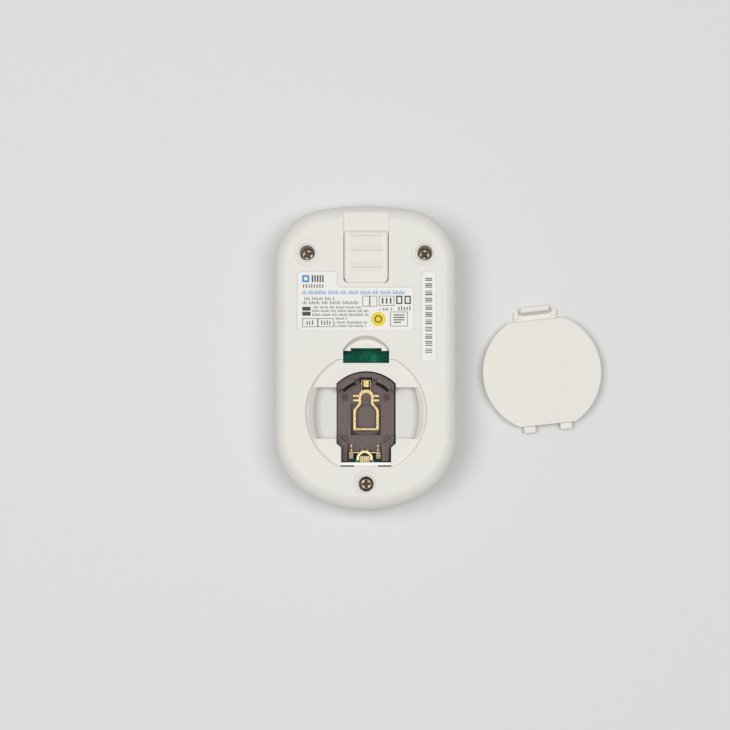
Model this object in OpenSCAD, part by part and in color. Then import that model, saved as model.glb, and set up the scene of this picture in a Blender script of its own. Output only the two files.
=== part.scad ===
// Hand-held blood glucose meter, lying on its front with the battery door taken off.
// The origin is the centre of the front face. +X is to the right, +Y points to the strip
// port and +Z points out of the back. All sizes are in millimetres.

/* [Case] */
// Width of the case
case_w = 52.4; // [44:0.2:63]
// Length of the case
case_l = 87.6; // [80:0.2:106]
// Thickness of the case, front face to back face
case_t = 18; // [17.6:0.2:22]
// Thickness of the moulded walls
wall = 1.8; // [1.5:0.1:2.2]
// Radius of the two corners beside the strip port
top_corner_r = 16; // [13:0.5:18]
// Radius of the bowed end at the strip port
top_bow_r = 80; // [60:1:110]
// Radius of the two corners at the thumb end
bottom_corner_r = 20; // [18:0.5:21]
// Radius of the bowed thumb end
bottom_bow_r = 33; // [31:0.5:40]
// Rounding round the edge of the back face
back_edge_r = 4.2; // [3:0.1:5]
// Rounding round the edge of the front face
front_edge_r = 3; // [2:0.1:4]
// Height of the seam between the two shells
seam_z = 8.4; // [8:0.1:8.8]

/* [Battery bay] */
// Diameter of the coin cell
cell_d = 20; // [17:0.5:21]
// Height of the coin cell
cell_t = 3.2; // [2.5:0.1:3.2]
// Distance from the thumb end of the case to the middle of the cell
cell_from_end = 27.8; // [27.4:0.1:30]
// Radius of the round battery door
door_r = 17.3; // [15:0.1:18]
// Distance across the two flats of the door
door_flats = 30.6; // [28:0.1:31.2]
// Thickness of the door plate
door_t = 1.4; // [1.2:0.1:1.6]
// Depth of the latch and ribs under the door plate
door_rib = 2.4; // [2:0.1:3]
// Width of the latch tongue
latch_w = 12.6; // [10:0.1:13]
// Width of the thumb piece of the latch
latch_thumb_w = 8.2; // [6:0.1:9]
// Where the loose door lies, to the right of the case
door_x = 51.4; // [48:0.1:80]
// Where the loose door lies, along the case
door_y = -3.7; // [-20:0.1:20]
// How far the loose door is turned
door_turn = 6.3; // [-30:0.1:30]

/* [Strip ejector] */
// Width of the ejector slider
slider_w = 12.5; // [11:0.1:14]
// Length of the ejector slider
slider_l = 14.7; // [13:0.1:16]
// Distance from the slider to the strip port end
slider_from_end = 7.7; // [7:0.1:9]
// Travel of the slider
slider_travel = 5; // [3:0.1:5.4]
// Number of grip ridges on the slider
grip_count = 3; // [2:1:3]
// Width of a test strip
strip_w = 6; // [5:0.1:7]

/* [Display and buttons] */
// Width of the display window
lens_w = 37; // [34:0.5:39]
// Length of the display window
lens_l = 29; // [27:0.5:30]
// Width of the glass display panel behind the window
lcd_w = 32; // [28:0.5:33]
// Length of the glass display panel
lcd_l = 21; // [18:0.5:21]
// Diameter of the main button
main_button_d = 13; // [11:0.5:14]
// Diameter of each small button
small_button_d = 8.4; // [7:0.2:9]
// Travel of every button
button_travel = 0.6; // [0.3:0.1:0.8]

/* [Inside] */
// Thickness of the circuit board
board_t = 1.2; // [0.8:0.1:1.6]
// Height of the back of the circuit board
board_top_z = 10.2; // [9.9:0.1:10.4]
// Diameter of a case screw's shank
screw_d = 2; // [1.8:0.1:2.4]
// Diameter of a case screw's head
screw_head_d = 3.9; // [3.6:0.1:4.2]

/* [Labels] */
// Width of the rating label
label_w = 33.2; // [28:0.1:35]
// Width of the label's tall left part
label_step_w = 11.3; // [8:0.1:12]
// Width of the narrow serial label
serial_w = 4.2; // [3:0.1:5]
// Length of the narrow serial label
serial_l = 25.5; // [20:0.1:27]
// Thickness of the label film
label_t = 0.12; // [0.1:0.01:0.2]

/* [Hidden] */
$fn = 64;

fit = 0.2;        // clearance round a piece that drops into a pocket
slide_fit = 0.3;  // clearance round a piece that slides
eps = 0.05;       // how far a cut runs past a face

// ---- the outline of the case: two bowed ends, four tangent corners, straight sides ----
top_cx = case_w / 2 - top_corner_r;
top_bow_y = case_l / 2 - top_bow_r;
top_cy = top_bow_y + sqrt(pow(top_bow_r - top_corner_r, 2) - pow(top_cx, 2));
top_half = atan2(top_cx, top_cy - top_bow_y);
bottom_cx = case_w / 2 - bottom_corner_r;
bottom_bow_y = bottom_bow_r - case_l / 2;
bottom_cy = bottom_bow_y - sqrt(pow(bottom_bow_r - bottom_corner_r, 2) - pow(bottom_cx, 2));
bottom_half = atan2(bottom_cx, bottom_bow_y - bottom_cy);
corner_steps = 13;
bow_steps = 9;
edge_steps = 7;

function arc(centre, r, from, to, steps) = [for (i = [0 : steps])
    let (a = from + (to - from) * i / steps) centre + r * [cos(a), sin(a)]];
function case_points(inset) = concat(
    arc([bottom_cx, bottom_cy], bottom_corner_r - inset, bottom_half - 90, 0, corner_steps),
    arc([top_cx, top_cy], top_corner_r - inset, 0, 90 - top_half, corner_steps),
    inner_points(arc([0, top_bow_y], top_bow_r - inset, 90 - top_half, 90 + top_half, bow_steps)),
    arc([-top_cx, top_cy], top_corner_r - inset, 90 + top_half, 180, corner_steps),
    arc([-bottom_cx, bottom_cy], bottom_corner_r - inset, 180, 270 - bottom_half, corner_steps),
    inner_points(arc([0, bottom_bow_y], bottom_bow_r - inset,
        270 - bottom_half, 270 + bottom_half, bow_steps)));
function inner_points(list) = [for (i = [1 : len(list) - 2]) list[i]];

// ---- heights ----
board_z = board_top_z - board_t;
back_inner_z = case_t - wall;
boss_top_z = 7.7;
screw_seat_t = 1.5;
screw_seat_z = boss_top_z + screw_seat_t;
screw_head_t = 1.4;
screw_shank_l = 6;
cross_half = 0.3;     // half the width of a slot of the cross recess
thread_bite = 0.15;   // how far the thread cuts into its boss
screw_clear = 0.15;   // clearance round the shank above the boss
tongue_l = 1;         // tongue of the rear shell that locates the front shell
tongue_fit = 0.1;
recess_depth = door_t + 0.1;
ledge_z = case_t - recess_depth;
ledge_t = 1.5;
door_rib_z = case_t - 0.1 - door_t - door_rib;
cell_bottom_z = board_top_z + 2;
cell_top_z = cell_bottom_z + cell_t;
wing_floor_z = cell_bottom_z - 0.3;
wing_floor_t = 1;
holder_floor_z = board_top_z + 1.4;
holder_rim_z = cell_top_z;

// ---- plan places ----
cell_y = cell_from_end - case_l / 2;
screw_inset_x = 9.3;
screw_inset_y = 13.8;
screw_end = 7.5;
screw_places = [[0, screw_end - case_l / 2],
    [screw_inset_x - case_w / 2, case_l / 2 - screw_inset_y],
    [case_w / 2 - screw_inset_x, case_l / 2 - screw_inset_y]];
well_r = screw_head_d / 2 + 0.25;
well_wall = 1.2;
mouth_r = 3;          // bevelled mouth of a screw well
mouth_depth = 0.75;
dish_r = 4.1;         // shallow dish round a screw well
dish_slope = 0.8;
dish_depth = 0.35;
slider_top_y = case_l / 2 - slider_from_end;
slider_y = slider_top_y - slider_l;

// ---- battery bay ----
recess_r = door_r + 0.1;
recess_half = door_flats / 2 + 0.05;
window_half_w = 8.5;
window_r = cell_d / 2 + 2;
window_narrow_half = 7.15;
window_shoulder_y = cell_y - cell_d / 2 + 1.3;
window_narrow_y = window_shoulder_y - 1.2;
window_end_y = cell_y - door_flats / 2 + 1.2;
wing_half_l = 7.35;
wing_rim_r = door_r - 0.7;
wing_foot = wing_rim_r - 1.55;   // how far the wing floors reach from the middle
wing_foot_r = 25;
wing_slope_h = 1.1;   // height of the sloped band round the wings
tab_w = 3.4;
tab_l = 1.9;
tab_t = 0.9;
tab_x = 5.35;
tab_pocket_l = tab_l + 0.35;
pad_rim = 1;          // how far the ledge reaches past the door
wing_wall = 1.2;
latch_wall = 1.6;
latch_side = 0.3;     // clearance each side of the latch
pocket_open = 0.4;     // how far a tab pocket shows on the ledge
pocket_rise = 0.25;   // how far it reaches up under the wall
catch_notch = 0.9;
latch_gap_y = cell_y + recess_half;
latch_window_l = 2.5;
latch_window_back = 1;
latch_centre_l = 3.3;
scoop_r = 8.2;
scoop_tilt = 30;
scoop_reach = 6.8;
scoop_depth = 1.5;
scoop_fall = 0.5;
scoop_groove = 0.35;
catch_z = door_rib_z + 1.2;

// ---- labels ----
label_recess = 0.3;
label_fit = 0.12;
label_left = -case_w / 2 + 6.5;
label_y = cell_y + 23.6;
label_top = slider_y + 3;
label_low_top = slider_y - 1.5;
label_r = 0.9;
serial_x = case_w / 2 - 10.4;
serial_y = label_top - serial_l;

// ---- display and buttons ----
lens_t = 1.1;
lens_recess = 0.15;
lens_y = case_l / 2 - 40.8;
lens_r = 3;
lcd_t = 2.2;
lcd_y = lens_y + 1;
lcd_border = 1.8;
carrier_wall = 1.2;
strip_rubber_w = 1.8;
main_button_y = screw_end - case_l / 2 + 12.6;
small_button_x = 13.6;
small_button_y = main_button_y + 10;
button_stem_r = 1.4;
button_stem_gap = 0.1;
button_recess = 0.3;
button_flange = 1;
button_flange_t = 0.8;
button_gap = 0.15;
switch_t = 3.4;
switch_half = 3;
switch_cap_r = 1.7;
switch_cap_t = 0.9;
button_places = [[0, main_button_y, main_button_d],
    [-small_button_x, small_button_y, small_button_d],
    [small_button_x, small_button_y, small_button_d]];

// ---- board ----
buzzer_r = 4.5;
buzzer_t = 3.2;
buzzer_hole_r = 1;
buzzer_y = lcd_y + lcd_l + carrier_wall + fit + buzzer_r + 0.6;
board_edge_gap = 2;
board_half_w = case_w / 2 - wall - board_edge_gap;
board_y = cell_y - 16;
board_top_y = case_l / 2 - 8.2;
board_corner_r = 11;
post_x = board_half_w - 2.3;
post_r = 1.9;
post_pilot_r = 0.7;
post_places = [[-post_x, lens_y - 3], [post_x, lens_y - 3]];
prop_r = 1.5;
prop_x = 15.5;
prop_places = [[-prop_x, cell_y - 9.6], [prop_x, cell_y - 9.6]];
board_screw_head = [3, 0.9];
board_screw_l = 5;
chip_half = 5;
chip_x = -12;
chip_y = slider_y - 10;
chip_t = 1.5;
lead_count = 11;      // leads on each of the chip's four sides
lead_pitch = 0.8;
lead_size = [1.3, 0.36, 0.35];
crystal_x = 14;
crystal_r = 1.05;
crystal_l = 6.2;
crystal_lead_r = 0.2;
small_part = [1.6, 0.8, 0.6];
large_part = [3.2, 1.6, 1.4];

// ---- strip path ----
strip_floor_z = board_top_z + 1;
strip_gap_t = 1.1;
socket_half_w = strip_w / 2 + 2.2;
socket_y = slider_y + 8;
socket_top_y = case_l / 2 - wall - 0.4;
socket_t = 3.4;
shutter_t = 0.7;
shutter_z = back_inner_z - 0.3 - shutter_t;
shutter_half_w = slider_w / 2 + 1.1;
shutter_l = slider_travel + 0.5;
rail_t = 1;
rail_drop = 0.6;
port_side = 0.6;      // how much wider than the strip its port is, each side
port_lead = 0.2;
track_depth = 0.6;
slider_plate_t = 0.75;
slider_gap = 0.22;     // clearance each side of the slider
slider_end_gap = 0.1; // clearance at its thumb end
slider_overlap = 0.65; // how far its other end lies over the floor of the track
slider_block_l = slider_l - slider_travel - slider_overlap - fit;
slider_top_z = case_t + 0.2;
slider_grip_z = slider_top_z - slider_plate_t + 0.3;
slider_corner_r = 1.2;
slider_bow_r = 55;
grip_pitch = 4.45;
grip_rise = 0.3;
grip_slope = 1.4;
grip_side = 1.65;     // plain border each side of the grip
grip_end = 1;
slider_border = 0.6;
carriage_t = 1.3;
carriage_top_z = strip_floor_z + strip_gap_t + carriage_t;
carriage_half = strip_w / 2 - 0.9;
carriage_wing = 2.4;
contact_pitch = 1.2;
contact_count = 4;
contact_half = 0.3;
contact_y = socket_y + slider_travel + 1.6;

// ---- battery holder and contacts ----
holder_gap = 0.35;
holder_x = -0.1;
holder_rim_r = cell_d / 2 + 0.15;
holder_low_rim_z = cell_bottom_z + 1;
holder_well_depth = 0.85;
hook_turn = 32;
hook_half = 2.1;
hook_t = 0.55;
hook_root = 0.8;
hook_reach = 0.65;
hook_groove_l = 0.75;   // how far the groove under a hook reaches past it
hook_groove_depth = 0.9;
mark_places = [[-6.05, -7.3], [6.05, -7.3], [-6.05, 4.7], [6.05, 4.7]];
mark_r = 1.15;
mark_depth = 0.08;
side_gap_half = 5;
side_gap_l = 3.3;
side_gap_back = 2.4;
spring_z = holder_floor_z + 0.15;
spring_t = 0.25;
spring_half_w = 3.82;
spring_low = 5.05;    // from the middle of the cell down to the spring's straight end
spring_shoulder = 1.2;
spring_neck = 2.9;
spring_neck_half = 2.3;
spring_top = 4.85;
spring_strip_w = 1;
spring_thick_top = 0.5;   // how much wider the strip is at its round end
finger_ys = [3.65, 5.05];
finger_x = 2.8;
tongue_half = 1.45;
tongue_end = 9.6;
tongue_hole = [0.8, 0.35];   // half width and length of the hole where the tongue bends
side_contact_x = -0.4;
side_contact_y = window_end_y + 1.1;
side_contact_z = cell_bottom_z + 1.6;
clip_x = 3.9;
clip_half = 0.75;
clip_l = 2;
saddle_r = 2.45;
saddle_bore_r = 1.5;
saddle_t = 1.2;
foot_half = 1.55;
foot_l = 0.9;

// ---- door, on its latch and ribs ----
door_z = door_rib;
door_root = door_flats / 2;
latch_t = 0.8;
door_rib_x = wing_foot - 1.85;

// ======================= shared shapes =======================

// A closed solid of the case outline, with quarter-round edges at its two faces.
module case_solid(z0, z1, inset, low_r = 0, high_r = 0) {
    low = low_r == 0 ? [[inset, z0]] : [for (i = [0 : edge_steps])
        let (a = 90 * i / edge_steps) [inset + low_r * (1 - sin(a)), z0 + low_r * (1 - cos(a))]];
    high = high_r == 0 ? [[inset, z1]] : [for (i = [0 : edge_steps])
        let (a = 90 * i / edge_steps) [inset + high_r * (1 - cos(a)), z1 - high_r * (1 - sin(a))]];
    rings = concat(low, high);
    count = len(case_points(0));
    last = len(rings) - 1;
    polyhedron(
        points = [for (ring = rings) for (p = case_points(ring[0])) [p[0], p[1], ring[1]]],
        faces = concat(
            [[for (i = [0 : count - 1]) i]],
            [[for (i = [count - 1 : -1 : 0]) last * count + i]],
            [for (j = [0 : last - 1]) for (i = [0 : count - 1]) let (n = (i + 1) % count)
                [j * count + i, (j + 1) * count + i, (j + 1) * count + n, j * count + n]]));
}

module box(x0, x1, y0, y1, z0, z1) {
    translate([x0, y0, z0]) cube([x1 - x0, y1 - y0, z1 - z0]);
}

module rod(x, y, z0, z1, r) {
    translate([x, y, z0]) cylinder(r = r, h = z1 - z0);
}

// A rectangle with four round corners.
module round_rect(x0, x1, y0, y1, r) {
    translate([x0 + r, y0]) square([x1 - x0 - 2 * r, y1 - y0]);
    translate([x0, y0 + r]) square([x1 - x0, y1 - y0 - 2 * r]);
    for (x = [x0 + r, x1 - r], y = [y0 + r, y1 - r]) translate([x, y]) circle(r);
}

module round_box(x0, x1, y0, y1, z0, z1, r) {
    translate([0, 0, z0]) linear_extrude(z1 - z0) round_rect(x0, x1, y0, y1, r);
}

// A circle about the middle of the cell with its two ends cut flat.
module door_outline(r, half) {
    intersection() {
        circle(r);
        square([3 * r, 2 * half], center = true);
    }
}

// A profile drawn in Y and Z, drawn out to a width across X.
module across(x0, x1) {
    translate([x0, 0, 0]) rotate([90, 0, 90]) linear_extrude(x1 - x0) children();
}

// The rating label: a wide lower part, a narrower tall part and a rounded inner corner.
module rating_outline(grow) {
    step_x = label_left + label_step_w + grow;
    low_top = label_low_top + grow;
    round_rect(label_left - grow, label_left + label_w + grow, label_y - grow, low_top, label_r);
    round_rect(label_left - grow, step_x, label_y - grow, label_top + grow, label_r);
    difference() {
        translate([step_x, low_top]) square(label_r);
        translate([step_x + label_r, low_top + label_r]) circle(label_r);
    }
}

module serial_outline(grow) {
    round_rect(serial_x - grow, serial_x + serial_w + grow, serial_y - grow, label_top + grow, label_r);
}

// ======================= shells =======================

module front_shell() color("#e9e6e0") {
    difference() {
        union() {
            difference() {
                case_solid(0, seam_z, 0, front_edge_r);
                case_solid(wall, seam_z + eps, wall, front_edge_r - wall);
                // rebate that takes the rear shell's tongue
                translate([0, 0, seam_z - tongue_l - tongue_fit]) linear_extrude(2 * tongue_l)
                    polygon(case_points(wall / 2));
            }
            for (p = screw_places) rod(p[0], p[1], wall - eps, boss_top_z, well_r + well_wall);
            for (p = post_places) rod(p[0], p[1], wall - eps, board_z, post_r);
            for (p = prop_places) rod(p[0], p[1], wall - eps, board_z, prop_r);
        }
        for (p = screw_places) rod(p[0], p[1], wall, boss_top_z + eps, screw_d / 2 - thread_bite);
        for (p = post_places) rod(p[0], p[1], wall + 1, board_z + eps, post_pilot_r);
        // pocket of the display lens, and the opening behind it
        round_box(-lens_w / 2 - fit, lens_w / 2 + fit, lens_y - fit, lens_y + lens_l + fit,
            -eps, lens_t + lens_recess, lens_r);
        round_box(-lcd_w / 2 + lcd_border, lcd_w / 2 - lcd_border, lcd_y + lcd_border,
            lcd_y + lcd_l - lcd_border, -eps, wall + eps, 1);
        for (b = button_places) rod(b[0], b[1], -eps, wall + eps, b[2] / 2 + button_gap);
    }
}

module screw_well_cut(p) {
    rod(p[0], p[1], screw_seat_z, case_t + eps, well_r);
    rod(p[0], p[1], boss_top_z - eps, screw_seat_z + eps, screw_d / 2 + screw_clear);
    translate([p[0], p[1], case_t - dish_depth])
        cylinder(r1 = dish_r - dish_slope, r2 = dish_r, h = dish_depth + 0.01);
    translate([p[0], p[1], case_t - mouth_depth])
        cylinder(r1 = well_r + 0.2, r2 = mouth_r, h = mouth_depth - dish_depth + eps);
}

// The opening over the coin cell holder.
module cell_window(grow) {
    translate([0, cell_y]) intersection() {
        circle(window_r + grow);
        translate([-window_half_w - grow, 0]) square([2 * (window_half_w + grow), window_r + grow]);
    }
    polygon([[-window_half_w - grow, cell_y + eps], [window_half_w + grow, cell_y + eps],
        [window_half_w + grow, window_shoulder_y], [window_narrow_half + grow, window_narrow_y],
        [window_narrow_half + grow, window_end_y - grow], [-window_narrow_half - grow, window_end_y - grow],
        [-window_narrow_half - grow, window_narrow_y], [-window_half_w - grow, window_shoulder_y]]);
}

// Thick material under the bay: the ledge pad, the two finger wings and the tab pockets' floor.
module bay_block() {
    translate([0, cell_y, ledge_z - ledge_t]) linear_extrude(ledge_t + eps)
        door_outline(recess_r + pad_rim, recess_half + tab_pocket_l + pad_rim);
    translate([0, cell_y, wing_floor_z - wing_floor_t])
        linear_extrude(ledge_z - wing_floor_z + wing_floor_t) intersection() {
            circle(wing_rim_r + wing_wall);
            square([4 * window_r, 2 * (wing_half_l + wing_wall)], center = true);
        }
    box(-latch_w / 2 - latch_wall, latch_w / 2 + latch_wall, latch_gap_y - pad_rim,
        latch_gap_y + scoop_reach + pad_rim, door_rib_z + fit, back_inner_z + eps);
}

// Room of the two finger wings between two heights; each end is an arc that grows by flare.
module wing_room(from_z, to_z, flare) intersection() {
    wing_end(-1, from_z, to_z, flare);
    wing_end(1, from_z, to_z, flare);
    box(-window_r * 2, window_r * 2, cell_y - wing_half_l, cell_y + wing_half_l, from_z, to_z);
}

module wing_end(side, from_z, to_z, flare) translate([side * (wing_foot - wing_foot_r), cell_y, from_z])
    cylinder(r1 = wing_foot_r, r2 = wing_foot_r + flare, h = to_z - from_z);

module bay_cuts() {
    translate([0, cell_y, ledge_z]) linear_extrude(recess_depth + eps) door_outline(recess_r, recess_half);
    translate([0, 0, board_top_z]) linear_extrude(case_t) cell_window(0);
    wing_room(wing_floor_z, ledge_z, 0);
    intersection() {
        wing_room(ledge_z - wing_slope_h, ledge_z + eps, wing_rim_r - wing_foot);
        rod(0, cell_y, wing_floor_z, case_t, wing_rim_r);
    }
    // pockets that take the door's two tabs
    for (side = [-1, 1])
        box(side * tab_x - tab_w / 2 - fit, side * tab_x + tab_w / 2 + fit,
            cell_y - recess_half - tab_pocket_l, cell_y - recess_half + pocket_open,
            ledge_z - ledge_t - eps, ledge_z + pocket_rise);
    latch_half = latch_w / 2 + latch_side;
    thumb_half = latch_thumb_w / 2 + latch_side;
    // latch window and its middle part
    box(-latch_half, latch_half, latch_gap_y - latch_window_back, latch_gap_y + latch_window_l,
        board_top_z, case_t + eps);
    box(-thumb_half, thumb_half, latch_gap_y - eps, latch_gap_y + latch_centre_l,
        board_top_z, case_t + eps);
    // notch that the latch's two lugs catch in
    box(-latch_half, latch_half, latch_gap_y, latch_gap_y + latch_window_l + catch_notch,
        board_top_z, catch_z);
    finger_scoop(latch_half, 0);
    finger_scoop(thumb_half, scoop_groove);
}

// A leaning cylinder over a floor that falls towards the latch.
module finger_scoop(half, deeper) {
    top_y = latch_gap_y + scoop_reach;
    floor_z = case_t - scoop_depth - deeper;
    intersection() {
        translate([0, top_y, case_t]) rotate([-scoop_tilt, 0, 0])
            translate([0, -scoop_r, -3 * scoop_depth]) cylinder(r = scoop_r, h = 6 * scoop_depth);
        across(-half, half) polygon([[latch_gap_y, floor_z - scoop_fall], [top_y - 1, floor_z],
            [top_y + 1, floor_z], [top_y + 1, case_t + eps], [latch_gap_y, case_t + eps]]);
    }
}

module rear_shell() color("#e7e4dd") {
    difference() {
        union() {
            difference() {
                case_solid(seam_z, case_t, 0, 0, back_edge_r);
                case_solid(seam_z - eps, back_inner_z, wall, 0, back_edge_r - wall);
            }
            // tongue round the seam
            translate([0, 0, seam_z - tongue_l]) difference() {
                linear_extrude(tongue_l + eps) polygon(case_points(wall / 2 + tongue_fit));
                translate([0, 0, -eps]) linear_extrude(tongue_l + 3 * eps) polygon(case_points(wall));
            }
            for (p = screw_places) rod(p[0], p[1], boss_top_z, back_inner_z + eps, well_r + well_wall);
            bay_block();
            // rails each side of the slider's shutter
            for (side = [-1, 1]) {
                rail_x = side * (shutter_half_w + slide_fit + rail_t / 2);
                box(rail_x - rail_t / 2, rail_x + rail_t / 2, slider_y - shutter_l - rail_drop,
                    slider_top_y, shutter_z - rail_drop, back_inner_z + eps);
            }
        }
        for (p = screw_places) screw_well_cut(p);
        bay_cuts();
        // slider window, and the shallow track beyond it
        track_half = slider_w / 2 + slider_gap;
        window_top_y = slider_top_y - slider_overlap;
        round_box(-track_half, track_half, slider_y - slider_end_gap, window_top_y,
            back_inner_z - eps, case_t + eps, slider_corner_r + slider_end_gap);
        box(-track_half, track_half, slider_y + slider_l / 2, window_top_y,
            back_inner_z - eps, case_t + eps);
        box(-track_half, track_half, slider_top_y - 2, case_l / 2 + eps,
            case_t - track_depth, case_t + eps);
        // strip port
        box(-strip_w / 2 - port_side, strip_w / 2 + port_side, case_l / 2 - 2 * wall, case_l / 2 + 1,
            strip_floor_z - port_lead, strip_floor_z + strip_gap_t);
        // label recesses
        translate([0, 0, case_t - label_recess]) linear_extrude(1) rating_outline(label_fit);
        translate([0, 0, case_t - label_recess]) linear_extrude(1) serial_outline(label_fit);
    }
}

// ======================= display =======================

module display_lens() color("#2b3134") {
    round_box(-lens_w / 2, lens_w / 2, lens_y, lens_y + lens_l, lens_recess, lens_recess + lens_t, lens_r);
}

module lcd_panel() color("#8d9a86") {
    box(-lcd_w / 2, lcd_w / 2, lcd_y, lcd_y + lcd_l, wall, wall + lcd_t);
}

// Frame that clamps the panel to the front and holds the two rubber connector strips.
module lcd_carrier() color("#d8d6d0") {
    side = lcd_w / 2 + carrier_wall + fit;
    inner = lcd_w / 2 - carrier_wall;
    difference() {
        box(-side, side, lcd_y - carrier_wall - fit, lcd_y + lcd_l + carrier_wall + fit, wall, board_z);
        box(-lcd_w / 2 - fit, lcd_w / 2 + fit, lcd_y - fit, lcd_y + lcd_l + fit, wall - eps, wall + lcd_t);
        box(-inner, inner, lcd_y + strip_rubber_w + 1.6, lcd_y + lcd_l - strip_rubber_w - 1.6,
            wall, board_z + eps);
        for (y = rubber_ys()) box(-inner, inner, y - 0.1, y + strip_rubber_w + 0.1, wall, board_z + eps);
    }
}

function rubber_ys() = [lcd_y + 0.5, lcd_y + lcd_l - strip_rubber_w - 0.5];

module zebra_strips() color("#e8a9a6") {
    for (y = rubber_ys()) box(-lcd_w / 2 + carrier_wall + 0.3, lcd_w / 2 - carrier_wall - 0.3, y,
        y + strip_rubber_w, wall + lcd_t, board_z);
}

// ======================= circuit board =======================

module circuit_board() color("#1f6a52") {
    translate([0, 0, board_z]) linear_extrude(board_t) difference() {
        round_rect(-board_half_w, board_half_w, board_y, board_top_y, board_corner_r);
        for (p = screw_places) translate(p) circle(well_r + well_wall + 0.4);
        for (p = post_places) translate(p) circle(post_pilot_r + fit);
    }
}

module main_chip() color("#26282a") translate([chip_x, chip_y, board_top_z]) {
    box(-chip_half, chip_half, -chip_half, chip_half, 0.1, chip_t);
    for (turn = [0 : 90 : 270], i = [0 : lead_count - 1]) rotate([0, 0, turn])
        translate([chip_half - 0.3, (i - (lead_count - 1) / 2) * lead_pitch - lead_size[1] / 2, 0])
            cube(lead_size);
}

module quartz_crystal() color("#b9bcc0") {
    translate([crystal_x, chip_y + 1, board_top_z + crystal_r]) {
        rotate([90, 0, 0]) cylinder(r = crystal_r, h = crystal_l);
        for (side = [-1, 1]) translate([side * 2 * crystal_lead_r, -0.5, 0])
            rotate([-90, 0, 0]) cylinder(r = crystal_lead_r, h = 2.2);
    }
}

// Three columns of small parts beside the chip, and two large ones past the crystal.
module chip_components() color("#6d5d4a") {
    for (x = [3 : 3 : 9], row = [-2 : 2]) translate([x, chip_y + 2 * row, board_top_z]) cube(small_part);
    for (y = [3.5, 7.5]) translate([crystal_x - 1, chip_y + y, board_top_z]) cube(large_part);
}

module buzzer() color("#1d1d1f") {
    difference() {
        rod(0, buzzer_y, board_z - buzzer_t, board_z, buzzer_r);
        rod(0, buzzer_y, board_z - buzzer_t - eps, board_z - buzzer_t + 1, buzzer_hole_r);
    }
}

module button_switches() color("#33363a") {
    for (b = button_places) {
        box(b[0] - switch_half, b[0] + switch_half, b[1] - switch_half, b[1] + switch_half,
            board_z - switch_t + switch_cap_t, board_z);
        rod(b[0], b[1], board_z - switch_t, board_z - switch_t + switch_cap_t + 0.1, switch_cap_r);
    }
}

// ======================= buttons =======================

// A cap with a flange that stops it inside the front, and a stem that reaches its switch.
module button(b) {
    rod(b[0], b[1], button_recess, wall + eps, b[2] / 2);
    rod(b[0], b[1], wall, wall + button_flange_t, b[2] / 2 + button_flange);
    rod(b[0], b[1], wall + button_flange_t - eps,
        board_z - switch_t - button_travel - button_stem_gap, button_stem_r);
}

module main_button() color("#3f7fb5") button(button_places[0]);
module left_button() color("#c9ced1") button(button_places[1]);
module right_button() color("#c9ced1") button(button_places[2]);

// ======================= strip socket and ejector =======================

module strip_socket() color("#e5e2d8") {
    difference() {
        box(-socket_half_w, socket_half_w, socket_y, socket_top_y, board_top_z, board_top_z + socket_t);
        box(-strip_w / 2 - fit, strip_w / 2 + fit, socket_y - eps, socket_top_y + eps,
            strip_floor_z, strip_floor_z + strip_gap_t);
        box(-contact_count * contact_pitch / 2 - fit, contact_count * contact_pitch / 2 + fit,
            contact_y - 0.6, socket_top_y - 2, strip_floor_z, board_top_z + socket_t + eps);
        // way for the carriage to travel
        box(-carriage_half - slide_fit, carriage_half + slide_fit, socket_y - eps,
            socket_y + slider_travel + 0.8, strip_floor_z, board_top_z + socket_t + eps);
    }
}

module socket_contacts() color("#c9a45c") {
    top = board_top_z + socket_t;
    for (i = [0 : contact_count - 1]) {
        x = (i - (contact_count - 1) / 2) * contact_pitch;
        // each spring hangs from the roof at the port end and presses down on the strip
        across(x - contact_half, x + contact_half) polygon([
            [socket_top_y - 1.2, top], [socket_top_y - 1.2, top + 0.2], [contact_y + 0.6, top + 0.2],
            [contact_y - 0.2, strip_floor_z + 0.8], [contact_y + 0.5, strip_floor_z + 0.6],
            [contact_y + 1.1, top - 0.6], [socket_top_y - 2.2, top]]);
    }
}

// Sawtooth grip: each ridge climbs towards the thumb, ends in a crisp step and leaves a groove.
module grip_profile() {
    step_ys = [for (i = [0 : grip_count - 1]) slider_top_y - 1.5 - i * grip_pitch];
    difference() {
        union() {
            translate([slider_y + grip_end, slider_grip_z])
                square([slider_l - grip_end - slider_border, slider_top_z - slider_grip_z]);
            for (y = step_ys) polygon([[y, slider_top_z - 0.1], [y, slider_top_z + grip_rise],
                [y + grip_slope, slider_top_z], [y + grip_slope, slider_top_z - 0.1]]);
        }
        for (y = step_ys) polygon([[y, slider_top_z + 1], [y, slider_top_z - grip_rise],
            [y - grip_slope, slider_top_z], [y - grip_slope, slider_top_z + 1]]);
    }
}

module ejector_slider() color("#e9e6df") {
    half = slider_w / 2;
    grip_half = half - grip_side;
    difference() {
        translate([0, 0, slider_top_z - slider_plate_t]) linear_extrude(slider_plate_t - 0.01)
            intersection() {
                union() {
                    round_rect(-half, half, slider_y, slider_top_y, slider_corner_r);
                    round_rect(-half, half, slider_y + slider_l / 2, slider_top_y, slider_corner_r / 2);
                }
                translate([0, slider_top_y - slider_bow_r]) circle(slider_bow_r);
            }
        box(-grip_half, grip_half, slider_y + grip_end, slider_top_y - slider_border,
            slider_grip_z, slider_top_z + 1);
    }
    across(-grip_half, grip_half) grip_profile();
    box(-half + 0.7, half - 0.7, slider_y + fit, slider_y + slider_block_l,
        carriage_top_z, slider_top_z - slider_plate_t + eps);
    box(-shutter_half_w, shutter_half_w, slider_y - shutter_l, slider_y + slider_block_l,
        shutter_z, shutter_z + shutter_t);
}

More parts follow.
